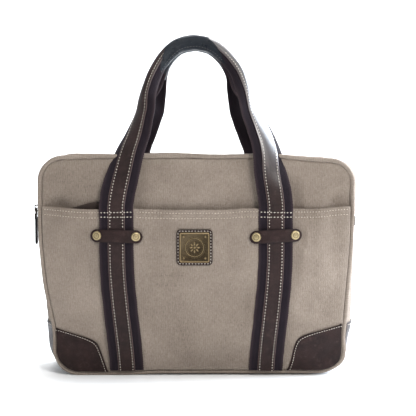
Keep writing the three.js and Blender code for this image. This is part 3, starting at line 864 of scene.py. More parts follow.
@dataclass
class Maker:
    """What every maker of the bag's pieces works with."""

    shop: Workshop
    form: Form = FORM

    @property
    def finish(self) -> Finishes:
        """The finishes."""
        return self.shop.finishes

    def seam(
        self, name: str, line: Sequence[Vector], up: Vector, pitch: float = 3.3,
        size: tuple[float, float, float] = (2.3, 0.75, 0.7),
    ) -> None:
        """Sews one row of stitches into leather.

        Args:
            name: The row's name.
            line: Where it runs.
            up: The direction out of the leather.
            pitch: The distance from one stitch to the next.
            size: A stitch's length, width and height.
        """
        rows = [Stitch(at, along, up) for at, along in along_line(line, pitch)]
        self.shop.piece(StitchRow(*size).sew(rows), name, self.finish.thread)


def sheet_grid(
    columns: int,
    rows: int,
    place: Place,
    flat: Place,
    edge: Callable[[float, float], float] | None = None,
    closed: bool = False,
    flip: bool = False,
) -> BMesh:
    """A sheet laid out as a grid, then moved into its shape.

    Args:
        columns: Cells across, along u.
        rows: Cells up, along v.
        place: The point in the bag for each u and v from 0 to 1.
        flat: The point of the flat pattern, in millimetres, for each u and v.
        edge: What is painted on the sheet as its edge value.
        closed: Whether the grid's opposite sides meet and are sewn together.
        flip: Whether to turn the faces over.

    Returns:
        The sheet.
    """
    bm = bmesh.new()
    bmesh.ops.create_grid(bm, x_segments=columns, y_segments=rows, size=1.0)
    cloth = bm.loops.layers.uv.new("cloth")
    paint = bm.verts.layers.float.new("edge")
    for face in bm.faces:
        for loop in face.loops:
            u, v = (loop.vert.co.x + 1) / 2, (loop.vert.co.y + 1) / 2
            loop[cloth].uv = flat(u, v).to_2d() * MM
    for vert in bm.verts:
        u, v = (vert.co.x + 1) / 2, (vert.co.y + 1) / 2
        vert[paint] = edge(u, v) if edge else 0.0
        vert.co = place(u, v)
    if closed:
        bmesh.ops.remove_doubles(bm, verts=bm.verts, dist=0.01)
    if flip:
        bmesh.ops.reverse_faces(bm, faces=bm.faces)
    return bm


def turned(profile: Sequence[tuple[float, float]], steps: int, relief: Sequence[float] = ()) -> BMesh:
    """A shape spun about -Y from a profile of (radius, height out of the face).

    Args:
        profile: Points from the axis out to the rim and back to the axis.
        steps: How many steps go round.
        relief: How bright each point of the profile is rubbed.

    Returns:
        The spun shape, standing at the origin.
    """
    bm = bmesh.new()
    paint = bm.verts.layers.float.new("relief")
    verts = [bm.verts.new((radius, -height, 0)) for radius, height in profile]
    for vert, value in zip(verts, relief):
        vert[paint] = value
    edges = [bm.edges.new(pair) for pair in zip(verts, verts[1:])]
    bmesh.ops.spin(
        bm, geom=verts + edges, cent=(0, 0, 0), axis=(0, 1, 0), angle=2 * math.pi, steps=steps, use_merge=True
    )
    bmesh.ops.remove_doubles(bm, verts=bm.verts, dist=0.005)
    bmesh.ops.recalc_face_normals(bm, faces=bm.faces)
    return bm


@dataclass
class Stitch:
    """One stitch: where it lies, which way it runs and which way is up."""

    at: Vector
    along: Vector
    up: Vector


@dataclass
class StitchRow:
    """Sews rows of stitches into one mesh."""

    length: float = 2.4
    width: float = 0.9
    height: float = 0.7

    def sew(self, stitches: Sequence[Stitch]) -> BMesh:
        """Makes every stitch.

        Args:
            stitches: Where they go.

        Returns:
            All the stitches as one mesh.
        """
        bm = bmesh.new()
        for stitch in stitches:
            along = stitch.along.normalized()
            side = along.cross(stitch.up).normalized()
            up = side.cross(along)
            turn = Matrix((along, side, up)).transposed().to_4x4()
            size = Matrix.Diagonal((self.length / 2, self.width / 2, self.height / 2, 1.0))
            matrix = Matrix.Translation(stitch.at) @ turn @ size
            bmesh.ops.create_uvsphere(bm, u_segments=6, v_segments=4, radius=1.0, matrix=matrix)
        return bm


def along_line(points: Sequence[Vector], pitch: float) -> list[tuple[Vector, Vector]]:
    """Evenly spaced points and directions along a line.

    Args:
        points: The line.
        pitch: The distance from one to the next.

    Returns:
        Pairs of point and direction.
    """
    made: list[tuple[Vector, Vector]] = []
    left = pitch / 2
    for a, b in zip(points, points[1:]):
        step = b - a
        length = step.length
        while length and left <= length:
            made.append((a + step * (left / length), step / length))
            left += pitch
        left -= length
    return made


# Canvas body


@dataclass
class OutlineStation:
    """A point of the seam outline and its outward direction."""

    x: float
    z: float
    out_x: float
    out_z: float
    run: float = 0.0

    def at(self, out: float, y: float) -> Vector:
        """The point that lies a distance outside the seam at depth y."""
        return Vector((self.x + self.out_x * out, y, self.z + self.out_z * out))


@dataclass
class Outline:
    """The closed seam line, walked at even steps from the bottom centre, right side first."""

    form: Form
    count: int = 420

    def walk(self) -> list[OutlineStation]:
        """Every station, with its distance along the seam.

        Returns:
            The stations in order.
        """
        form = self.form
        low_x = form.side_x(form.seam_bottom + form.bottom_radius) - form.bottom_radius
        high_x = form.half_top - form.top_radius
        right: list[tuple[float, float]] = [(0, form.seam_bottom), (low_x, form.seam_bottom)]
        turns = [math.pi / 2 * i / 16 for i in range(17)]
        for a in turns[1:]:
            z = form.seam_bottom + form.bottom_radius * (1 - math.cos(a))
            right.append((form.side_x(z) - form.bottom_radius * (1 - math.sin(a)), z))
        step = 8
        z = form.seam_bottom + form.bottom_radius + step
        while z < form.seam_top - form.top_radius:
            right.append((form.side_x(z), z))
            z += step
        for a in turns:
            z = form.seam_top - form.top_radius * (1 - math.sin(a))
            right.append((high_x + form.top_radius * math.cos(a), z))
        right.append((0, form.seam_top))
        whole = right + [(-x, z) for x, z in reversed(right[1:-1])] + [right[0]]
        line = [Vector((x, 0, z)) for x, z in whole]
        total = sum((b - a).length for a, b in zip(line, line[1:]))
        spots = along_line(line, total / self.count)[: self.count]
        return [OutlineStation(p.x, p.z, d.z, -d.x, total * i / self.count) for i, (p, d) in enumerate(spots)]

    def over(self, end_z: float) -> list[OutlineStation]:
        """The stations from the right side over the top to the left side, above end_z."""
        return [s for s in self.walk() if s.z > end_z]

    def under(self, end_z: float) -> list[OutlineStation]:
        """The stations from the left side under the bottom to the right side, below end_z."""
        below = [s for s in self.walk() if s.z < end_z]
        return [s for s in below if s.x < 0] + [s for s in below if s.x >= 0]


@dataclass
class CanvasBody(Maker):
    """The canvas shell: two face panels, the front pocket, the gusset, the zip strips and the welts."""

    columns: int = 170
    rows: int = 120
    hem_rows: tuple[float, float] = (4.3, 11.0)
    welt_join: float = 1352.0

    def build(self) -> None:
        """Makes every canvas piece."""
        self.face_panel(Face.FRONT)
        self.face_panel(Face.BACK)
        self.pocket()
        self.mouth_facing_and_shade()
        self.welt(Face.FRONT)
        self.welt(Face.BACK)
        self.gusset()
        for face in Face:
            self.zip_strip(face)
        self.hem_stitches()

    def cloth_edge(self, x: float, z: float) -> float:
        """How worn the canvas is near its seams."""
        return math.exp(-self.form.edge_distance(x, z) / 5.0)

    def face_panel(self, face: Face) -> None:
        """One big panel, with soft dents where the pocket's corners pull at it.

        Args:
            face: Which face.
        """
        form = self.form
        inset = form.welt - 0.4
        low, high = form.seam_bottom + inset, form.seam_top - inset

        def spot(u: float, v: float) -> Spot:
            """The flat x and z of a point of the panel."""
            z = mix(low, high, v)
            return mix(-1, 1, u) * form.half_width(z, inset), z

        def place(u: float, v: float) -> Vector:
            """The point of the sagging panel."""
            x, z = spot(u, v)
            return form.settle(Vector((x, form.panel_y(face, x, z) + face.value * form.slack(face, x, z), z)))

        bm = sheet_grid(
            self.columns, self.rows, place, lambda u, v: Vector((*spot(u, v), 0)),
            lambda u, v: self.cloth_edge(*spot(u, v)), flip=face is Face.BACK,
        )
        name = f"{face.word}_canvas"
        panel = self.shop.piece(
            bm, name, self.finish.canvas, replaces=[f"{face.word}_panel"], thickness=form.canvas
        )

    def mouth_height(self, x: float) -> float:
        """The height of the pocket's mouth, which dips beside the left strap and climbs to the seams.

        Args:
            x: Distance to the right of the middle.

        Returns:
            The height.
        """
        rise = 2.6 * ease(abs(x), 150, 196)
        droop = 1.0 * bump_at(x + 128, 20) + 1.5 * (1 - ease(abs(x), 30, 84))
        return self.form.mouth_z - 0.6 + rise - droop + 0.5 * drift(x / 40, 0, 4.0)

    def pocket_point(self, x: float, z: float) -> Vector:
        """A point of the sagging pocket: its folds, its hem's gathers and its soft mouth.

        Args:
            x: Distance to the right of the middle.
            z: Height.

        Returns:
            The point on the outside of the cloth.
        """
        form = self.form
        from_seam = min(form.half_width(z) - abs(x), z - form.seam_bottom)
        out = form.ripple(x, z, 11.0) * ease(from_seam, 2, 30)
        out += form.pucker(x + z, from_seam, 5.0)
        from_mouth = self.mouth_height(x) - z
        hem = 1 - ease(from_mouth, 12, 15)
        out += 0.7 * hem
        gather = math.sin(x * 1.05 + 2 * drift(x / 18, 0, 9.0)) + 0.7 * drift(x / 3.2, 0, 2.0)
        between = bump_at(from_mouth - 3, 3) + bump_at(from_mouth - 10, 3.5)
        out += 0.3 * gather * between * form.calm(x, 150)
        for line in self.hem_rows:
            out -= 0.65 * bump_at(from_mouth - line, 1.2)
        out -= 0.7 * bump_at(from_mouth, 0.9)
        out -= 2.2 * bump_at(math.hypot(x - 172, (z - 165) * 0.35), 15)
        out -= 1.8 * bump_at(math.hypot(x + 168, (z - 120) * 0.4), 16)
        out += 1.3 * bump_at(x, 50) * bump_at(z - 60, 60)
        gape = 1.5 * bump_at(x + 142, 20) + 0.8 * bump_at(x, 40)
        out += gape * bump_at(from_mouth, 22)
        behind = form.panel_y(Face.FRONT, x, z) - form.slack(Face.FRONT, x, z) - 0.4 - form.pocket_canvas
        return form.settle(Vector((x, min(form.pocket_y(x, z) - out, behind), z)))

    def pocket(self) -> None:
        """The slip pocket over the lower three quarters of the front, with its double-stitched hem."""
        form = self.form
        inset = form.welt - 0.4
        low = form.seam_bottom + inset

        def spot(u: float, v: float) -> Spot:
            """The flat x and z of a point of the pocket."""
            across = mix(-1, 1, u)
            top = self.mouth_height(across * 196)
            z = mix(low, top, v)
            return across * form.half_width(z, inset), z

        bm = sheet_grid(
            self.columns + 60, self.rows + 30, lambda u, v: self.pocket_point(*spot(u, v)),
            lambda u, v: Vector((*spot(u, v), 0)),
            lambda u, v: self.cloth_edge(*spot(u, v)),
        )
        pocket = self.shop.piece(
            bm, "front_pocket_canvas", self.finish.canvas,
            replaces=["front_pocket"], thickness=form.pocket_canvas,
        )

    def mouth_facing_and_shade(self) -> None:
        """The brown facing behind the pocket's mouth, which shows beside the left strap; its very dark colour
        is partly painted shade, standing in for the shade inside the gaping mouth.
        """
        form = self.form

        def place(u: float, v: float) -> Vector:
            """The point of the facing."""
            x = mix(-186, 186, u)
            # Beside the left strap the facing rises above the mouth as a dark wedge, partly painted shade of
            # the gape.
            top = self.mouth_height(x) - 1.5 + 10.5 * ease(x, -168, -126) * (1 - ease(x, -122, -116))
            z = mix(178, top, v)
            ahead = form.slack(Face.FRONT, x, z) + 1.0 + 3.4 * bump_at(x + 138, 26) * v
            return form.settle(Vector((x, form.panel_y(Face.FRONT, x, z) - ahead, z)))

        bm = sheet_grid(160, 16, place, lambda u, v: Vector((u * 372, v * 34, 0)))
        facing_sheet = self.shop.piece(bm, "pocket_mouth_shade", self.finish.lining, thickness=0.7)

    def hem_stitches(self) -> None:
        """The two rows of stitches along the pocket's mouth."""
        form = self.form
        stitches: list[Stitch] = []
        for drop in self.hem_rows:
            line = [
                self.pocket_point(x, self.mouth_height(x) - drop) + Vector((0, -0.3, 0))
                for x in spread(-194, 194, 197)
            ]
            for at, along in along_line(line, 3.8):
                if abs(abs(at.x) - form.strap_x) > form.strap_half + 1:
                    stitches.append(Stitch(at, along, Vector((0, -1, 0))))
        bm = StitchRow(2.1, 1.0, 0.8).sew(stitches)
        self.shop.piece(bm, "pocket_hem_stitches", self.finish.canvas_thread)

    def welt(self, face: Face) -> None:
        """The canvas-covered cord sewn into the seam round one face.

        Args:
            face: Which face it goes round.
        """
        form = self.form
        stations = Outline(form).walk()
        y = form.front_y if face is Face.FRONT else form.back_y
        count = len(stations)

        def place(u: float, v: float) -> Vector:
            """The point of the welt."""
            station = stations[int(round(v * count)) % count]
            turn = 2 * math.pi * u
            thick = form.welt * (1 + 0.05 * drift(station.run / 9, face.value, 6.0))
            out = 0.3 + thick * math.cos(turn) + 0.25 * drift(station.run / 26, face.value, 2.0)
            join = 1 - 0.35 * bump_at(station.run - self.welt_join, 2.5) * (face is Face.FRONT)
            p = station.at(out * join, y + thick * math.sin(turn) * join)
            p.z = max(p.z, 0.15)
            return form.settle(p)

        length = stations[-1].run
        bm = sheet_grid(
            14, count, place, lambda u, v: Vector((v * length, u * 18, 0)),
            lambda u, v: 0.25 + 0.35 * abs(math.sin(2 * math.pi * u)), closed=True,
        )
        bmesh.ops.recalc_face_normals(bm, faces=bm.faces)
        self.shop.piece(bm, f"{face.word}_welt", self.finish.canvas, replaces=[f"piping_{face.word}"])

    def band(
        self,
        stations: Sequence[OutlineStation],
        columns: int,
        depths: tuple[float, float],
        out: Callable[[float, float], float],
    ) -> BMesh:
        """A sheet that follows the outline.

        Args:
            stations: The stretch of the outline it follows.
            columns: Cells across.
            depths: The y of its two edges.
            out: How far outside the seam it lies, for a depth y and a run.

        Returns:
            The band.
        """
        form = self.form
        count = len(stations) - 1
        step = sum(math.hypot(b.x - a.x, b.z - a.z) for a, b in zip(stations, stations[1:])) / count

        def place(u: float, v: float) -> Vector:
            """The point of the band."""
            index = int(round(v * count))
            station = stations[index]
            y = mix(*depths, u)
            swell = form.belly(station.x, station.z, y, station.out_x)
            return form.settle(station.at(out(y, index * step) + swell, y))

        def edge(u: float, v: float) -> float:
            """How close the point is to the band's long edges."""
            y = mix(*depths, u)
            return math.exp(-min(y - form.front_y, form.back_y - y) / 6)

        def flat(u: float, v: float) -> Vector:
            """The point of the flat pattern."""
            return Vector((v * count * step, mix(*depths, u), 0))

        return sheet_grid(columns, count, place, flat, edge)

    def gusset(self) -> None:
        """The long strip that makes the bag's sides and bottom."""
        form = self.form
        low, high = form.front_y + form.welt - 1.2, form.back_y - form.welt + 1.2

        def out(y: float, run: float) -> float:
            """The gusset's slack between its seams."""
            from_seam = min(y - low, high - y)
            slack = 1.3 * drift(run / 60, y / 45, 14.0) + 0.4 * drift(run / 22, y / 30, 15.0)
            loose = min(slack, 0.5) * ease(from_seam, 2, 18)
            return form.gusset_out - 0.3 + loose + form.pucker(run, from_seam, 13.0)

        bm = self.band(Outline(form).under(form.zip_end_z), 34, (low, high), out)
        gusset = self.shop.piece(
            bm, "gusset_canvas", self.finish.canvas, replaces=["gusset"], thickness=form.canvas
        )

    def zip_strip(self, face: Face) -> None:
        """The canvas strip between one face and the zip.

        Args:
            face: The face it is sewn to.
        """
        form = self.form
        seam = form.front_y + form.welt - 1.2 if face is Face.FRONT else form.back_y - form.welt + 1.2
        inner = form.mid_y + face.value * 11

        def out(y: float, run: float) -> float:
            """A folded edge beside the zip and small gathers at the seam."""
            fold = 0.5 * bump_at(y - inner, 2.2)
            gather = form.pucker(run, abs(y - seam), 17.0)
            return form.gusset_out - 0.2 + fold + gather + 0.35 * drift(run / 30, y / 20, 18.0)

        depths = (seam, inner) if face is Face.FRONT else (inner, seam)
        bm = self.band(Outline(form).over(form.zip_end_z - 1), 14, depths, out)
        strip = self.shop.piece(
            bm, f"zip_strip_{face.word}_canvas", self.finish.canvas,
            replaces=[f"zip_strip_{face.word}"], thickness=1.0,
        )


# Straps and handles


@dataclass
class StrapStation:
    """A place along a strap: its centre, its two directions, its fold and its run."""

    centre: Vector
    along: Vector
    across: Vector
    normal: Vector
    run: float

    def curl(self) -> float:
        """Half the angle that the strap is rolled through across its width."""
        z = self.centre.z
        return 0.02 + 0.62 * ease(z, 222, 310) + 1.95 * ease(z, 338, 398)

    def at(self, a: float, lift: float) -> Vector:
        """A point a across the strap and lift above its outer face.

        Args:
            a: Distance from the middle, along the strap's own width.
            lift: Height above the middle of the webbing.

        Returns:
            The point, with the strap's roll taken in.
        """
        roll = self.curl()
        radius = FORM.strap_half / roll
        angle = a / radius
        tight = ease(self.centre.z, 338, 398)
        wide = (radius + lift) * math.sin(angle) * mix(1.0, 0.66, tight)
        out = (radius + lift) * math.cos(angle) - radius + radius * 0.95 * tight
        out += (1 - tight) * 2.0 * ease(roll, 0.05, 0.7)
        return self.centre + self.across * wide + self.normal * out

    def up(self, a: float) -> Vector:
        """The direction out of the strap's face at a."""
        angle = a * self.curl() / FORM.strap_half
        return (self.across * math.sin(angle) + self.normal * math.cos(angle)).normalized()


@dataclass
class StrapPath:
    """The whole way of one strap: up the face, over the hand and down again."""

    face: Face
    form: Form = FORM
    hinge_z: float = 210.0
    squeeze: float = 0.14
    rise: float = 1.8
    sewn_step: float = 6.0
    points: tuple[tuple[float, float, float, float], ...] = (
        (100, 210.5, 0, 0), (100, 221, 0, 0), (97.5, 239, 0.07, 0), (92, 262, 0.15, 0.02),
        (85.5, 287, 0.26, 0.1), (77, 311, 0.38, 0.22), (66, 350, 0.58, 0.48), (60, 369, 0.68, 0.61),
        (51.5, 390, 0.79, 0.76), (38.5, 409, 0.9, 0.89), (21.5, 423.5, 0.97, 0.97), (0, 428.5, 1, 1),
    )

    def depth(self, lean: float) -> float:
        """The y of the strap's middle, for its lean from the face to the hand.

        Args:
            lean: 0 at the face, 1 at the hand.

        Returns:
            The y.
        """
        form = self.form
        inner = form.strap_x - form.strap_half
        base = form.outer_y(self.face, inner, self.hinge_z) + self.face.value * self.rise
        return mix(base, form.mid_y + self.face.value * 9, lean)

    def leg(self) -> list[Vector]:
        """The right leg's centre line, from the bottom seam to the top of the handle.

        Returns:
            The points of the line.
        """
        form, face = self.form, self.face
        line: list[Vector] = []
        z = form.seam_bottom + 3.8
        while z < 207:
            x = form.strap_centre(z)
            y = form.outer_y(face, x, z) + face.value * self.rise
            line.append(Vector((x, mix(y, self.depth(0), ease(z, 195, 210)), z)))
            z += self.sewn_step
        for x, high, front_lean, back_lean in self.points:
            narrow = 1.0
            if face is Face.BACK:
                narrow = 1 - self.squeeze * bump_at(high - 362, 38)
            lean = front_lean if face is Face.FRONT else back_lean
            line.append(Vector((x * narrow, self.depth(lean), high)))
        return line

    def stations(self, count: int = 640) -> list[StrapStation]:
        """Even stations from the left leg's foot to the right leg's foot.

        Args:
            count: How many there are.

        Returns:
            The stations.
        """
        right = self.leg()
        knots = [Vector((-p.x, p.y, p.z)) for p in right] + list(reversed(right[:-1]))
        for knot in knots:
            knot.x -= 2.4 * ease(knot.z, 385, 425)
            if self.face is Face.FRONT and knot.x > 0:
                knot.x += 8.0 * bump_at(knot.z - 308, 40)
        steps = 10
        fine = [curve_through(knots, i / steps) for i in range((len(knots) - 1) * steps)]
        fine.append(knots[-1])
        total = sum((b - a).length for a, b in zip(fine, fine[1:]))
        spots = along_line(fine, total / count)
        out = Vector((0, self.face.value, 0))
        made: list[StrapStation] = []
        for i, (centre, _) in enumerate(spots):
            before, after = spots[max(0, i - 3)][0], spots[min(len(spots) - 1, i + 3)][0]
            along = (after - before).normalized()
            front = (out - along * out.dot(along)).normalized()
            risen = max(0.0, (centre.z - 240) / 188)
            twist = math.pi / 2 * risen**0.85
            side = along.cross(out)
            side.normalize()
            inner = side * -self.face.value
            across = inner * math.cos(twist) + front * math.sin(twist)
            away = front * math.cos(twist) - inner * math.sin(twist)
            run = total * i / count
            made.append(StrapStation(centre, along, across.normalized(), away.normalized(), run))
        return made


@dataclass
class Handle(Maker):
    """One strap with its leather trim, stitches and grip."""

    face: Face = Face.FRONT
    trim_half: float = 10.7
    webbing: float = 1.8
    trim: float = 1.3
    row_from_middle: float = 8.0
    row_pitch: float = 3.9
    bar_rows: Spot = (212.0, 205.4)
    fold: Spot = (206.5, 220.5)
    grip_left_z: float = 378.0
    grip_right_z: float = 396.0

    def build(self) -> None:
        """Makes the strap and everything on it."""
        self.name = self.face.word
        self.path = StrapPath(self.face, self.form).stations()
        self.strap()
        for hand in Hand:
            self.leather_trim(hand)
        self.stitches()
        self.grip()

    def bend(self, piece: bpy.types.Object) -> bpy.types.Object:
        """Bakes a piece's transform into its mesh; it is not bent where the handle folds down at the last row
        of stitches.
        """
        y = self.form.outer_y(self.face, 80, 210) * MM
        low, high = self.fold
        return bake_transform(piece)

    def ribbon(
        self, stations: Sequence[StrapStation], half: float, lift: float, columns: int, wander: float = 0.0,
        notch: float = 0.0,
    ) -> BMesh:
        """A strip along the strap.

        Args:
            stations: The stretch that it covers.
            half: Half its width.
            lift: How high its outer face stands over the webbing's middle.
            columns: Cells across.
            wander: How far its edges stray.
            notch: How deep the weave notches its selvedges.

        Returns:
            The strip's outer face.
        """
        count = len(stations) - 1

        def place(u: float, v: float) -> Vector:
            """The point of the strip."""
            station = stations[int(round(v * count))]
            a = mix(-half, half, u)
            a += wander * drift(station.run / 17, u * 3, 1.0)
            a += notch * (-1) ** int(round(v * count)) * abs(2 * u - 1) ** 12 * math.copysign(1, u - 0.5)
            rise = 0.12 * drift(station.run / 25, a / 14, 4.0)
            return station.at(a, lift + rise)

        # The edge value painted here marks the webbing's worn selvedges and, on the leather trims, the
        # painted highlight along their cut edges.
        bm = sheet_grid(
            columns, count, place,
            lambda u, v: Vector((mix(-half, half, u), stations[int(round(v * count))].run, 0)),
            lambda u, v: abs(2 * u - 1) ** 3,
        )
        rubbed = bm.verts.layers.float.new("polish")
        for vert in bm.verts:
            worn = 1.0 if self.face is Face.FRONT and vert.co.x > 0 else 0.08
            vert[rubbed] = worn * ease(vert.co.z, 225, 330)
        return bm

    def face_out(self, bm: BMesh, station: StrapStation) -> BMesh:
        """Turns a strip's faces over if they look into the bag.

        Args:
            bm: The strip.
            station: A station under it.

        Returns:
            The same strip.
        """
        bm.normal_update()
        bm.faces.ensure_lookup_table()
        nearest = min(bm.faces, key=lambda f: (f.calc_center_median() - station.centre).length)
        if nearest.normal.dot(station.normal) < 0:
            bmesh.ops.reverse_faces(bm, faces=bm.faces)
        return bm

    def strap(self) -> None:
        """The webbing, in one length from foot to foot."""
        bm = self.ribbon(self.path, self.form.strap_half, self.webbing / 2, 16, 0.25, 0.22)
        self.face_out(bm, self.path[20])
        nodes = [f"strap_{self.name}_{hand.word}" for hand in Hand]
        strap = self.shop.piece(
            bm, f"{self.name}_strap_webbing", self.finish.webbing, body=None,
            replaces=[*nodes, f"handle_webbing_{self.name}"], thickness=self.webbing, bevel=0.3,
        )
        self.bend(strap)

    def trim_stations(self, hand: Hand) -> list[StrapStation]:
        """The stretch of strap under one leather trim, from its foot into the grip."""
        stop = 24 if hand is Hand.LEFT else 9
        return [s for s in self.path if s.centre.x * hand.value > stop]

    def leather_trim(self, hand: Hand) -> None:
        """The leather strip down the middle of one leg.

        Args:
            hand: Which leg.
        """
        stations = self.trim_stations(hand)
        bm = self.ribbon(stations, self.trim_half, self.webbing / 2 + self.trim, 10, 0.15)
        self.face_out(bm, stations[len(stations) // 2])
        side = hand.word
        trim = self.shop.piece(
            bm, f"{self.name}_strap_leather_{side}", self.finish.strap_leather, body=None,
            replaces=[f"strap_trim_{self.name}_{side}", f"handle_trim_{self.name}_{side}"],
            thickness=self.trim - 0.05, bevel=0.35,
        )
        self.bend(trim)

    def stitches(self) -> None:
        """Two rows down each trim, and the two bold rows that sew the strap to the pocket's hem."""
        rows: list[Stitch] = []
        for hand in Hand:
            stations = [s for s in self.trim_stations(hand) if s.centre.z < 412]
            for a in (-self.row_from_middle, self.row_from_middle):
                line = [s.at(a, self.webbing / 2 + self.trim + 0.12) for s in stations]
                for at, along in along_line(line, self.row_pitch):
                    if abs(at.z - self.form.keeper_z) < 9:
                        continue
                    near = min(stations, key=lambda s: (s.at(a, 2) - at).length)
                    rows.append(Stitch(at, along, near.up(a)))
        bm = StitchRow(1.8, 1.2, 0.85).sew(rows)
        piece = self.shop.piece(bm, f"{self.name}_strap_stitches", self.finish.thread, body=None)
        self.bend(piece)

        bold: list[Stitch] = []
        for hand in Hand:
            for z in self.bar_rows:
                near = min(
                    (s for s in self.path if s.centre.x * hand.value > 0), key=lambda s: abs(s.centre.z - z)
                )
                line = []
                for i in range(24):
                    a = mix(-self.form.strap_half + 0.6, self.form.strap_half - 0.6, i / 23)
                    on_trim = 1 - ease(abs(a), self.trim_half - 0.5, self.trim_half + 0.5)
                    line.append(near.at(a, self.webbing / 2 + 0.2 + self.trim * on_trim))
                bold += [Stitch(at, along, near.normal) for at, along in along_line(line, 4.2)]
        bm = StitchRow(2.3, 1.3, 1.0).sew(bold)
        self.bend(self.shop.piece(bm, f"{self.name}_strap_bar_stitches", self.finish.bar_thread, body=None))

    def gripped(self) -> tuple[int, int, int, int]:
        """Where the grip starts and ends along the strap: inner start, outer start, outer end, inner end.

        Returns:
            The four stations' numbers.
        """
        high = [i for i, s in enumerate(self.path) if s.centre.z > self.grip_left_z + 6]
        left = next(i for i in high if self.path[i].centre.x > -36)
        right = next(i for i in high if self.path[i].centre.x > 12)
        last = next(i for i in reversed(high) if self.path[i].centre.z > self.grip_right_z + 6)
        return high[0], left, right, last

    def grip_point(self, spot: float, turn: float, grow: float = 0.0) -> Vector:
        """A point of the grip's skin.

        Args:
            spot: Where along the strap, in stations.
            turn: Where round it: 0 looks forward along the strap's width, a quarter turn looks outwards.
            grow: How far to stand off the skin.

        Returns:
            The point.
        """
        first, _, _, last = self.gripped_range
        station = self.path[int(spot)]
        after = self.path[min(len(self.path) - 1, int(spot) + 1)]
        share = spot - int(spot)
        along = min(1.0, max(0.0, (spot - first) / (last - first)))
        full = 0.82 + 0.18 * math.sin(math.pi * along) ** 0.6
        full *= 1 + 0.02 * drift(station.run / 9, turn * 1.5, 3.0)
        wide, tall = 7.0 * full + grow, 9.9 * full + grow
        cos, sin = math.cos(turn), math.sin(turn)
        a = wide * math.copysign(abs(cos) ** 0.8, cos)
        n = tall * math.copysign(abs(sin) ** 0.8, sin) + 0.6
        centre = station.centre.lerp(after.centre, share)
        across, normal = station.across.lerp(after.across, share), station.normal.lerp(after.normal, share)
        return centre + across * a + normal * n

    def grip(self) -> None:
        """The leather wrapped round the folded strap for the hand, seamed on its inner side."""
        self.gripped_range = self.gripped()
        inner_start, outer_start, outer_end, inner_end = self.gripped_range
        rows = 120

        def place(u: float, v: float) -> Vector:
            """The point of the grip's skin."""
            turn = 2 * math.pi * u
            outer = ease(math.sin(turn), -0.75, 0.95)
            spot = mix(mix(inner_start, outer_start, outer), mix(inner_end, outer_end, outer), v)
            seam = bump_at(math.remainder(turn - math.radians(322), 2 * math.pi), 0.08)
            return self.grip_point(spot, turn, 0.55 * seam)

        bm = sheet_grid(
            44, rows, place, lambda u, v: Vector((u * 60, v * 150, 0)),
            lambda u, v: bump_at(min(v, 1 - v), 0.014), closed=True,
        )
        bmesh.ops.recalc_face_normals(bm, faces=bm.faces)
        self.shop.piece(
            bm, f"{self.name}_grip_leather", self.finish.grip, body=f"handle_{self.name}",
            thickness=1.4, bevel=0.35, replaces=[f"handle_grip_{self.name}"],
        )
        turn = math.radians(331)
        line = [self.grip_point(float(i), turn, 0.2) for i in range(inner_start + 4, inner_end - 4)]
        middle = self.path[(inner_start + inner_end) // 2]
        stitches = [Stitch(at, along, middle.across) for at, along in along_line(line, 3.8)]
        self.shop.piece(
            StitchRow(2.2, 0.7, 0.55).sew(stitches),
            f"{self.name}_grip_stitches",
            self.finish.grip_thread,
            body=f"handle_{self.name}",
        )


# Keepers and rivets


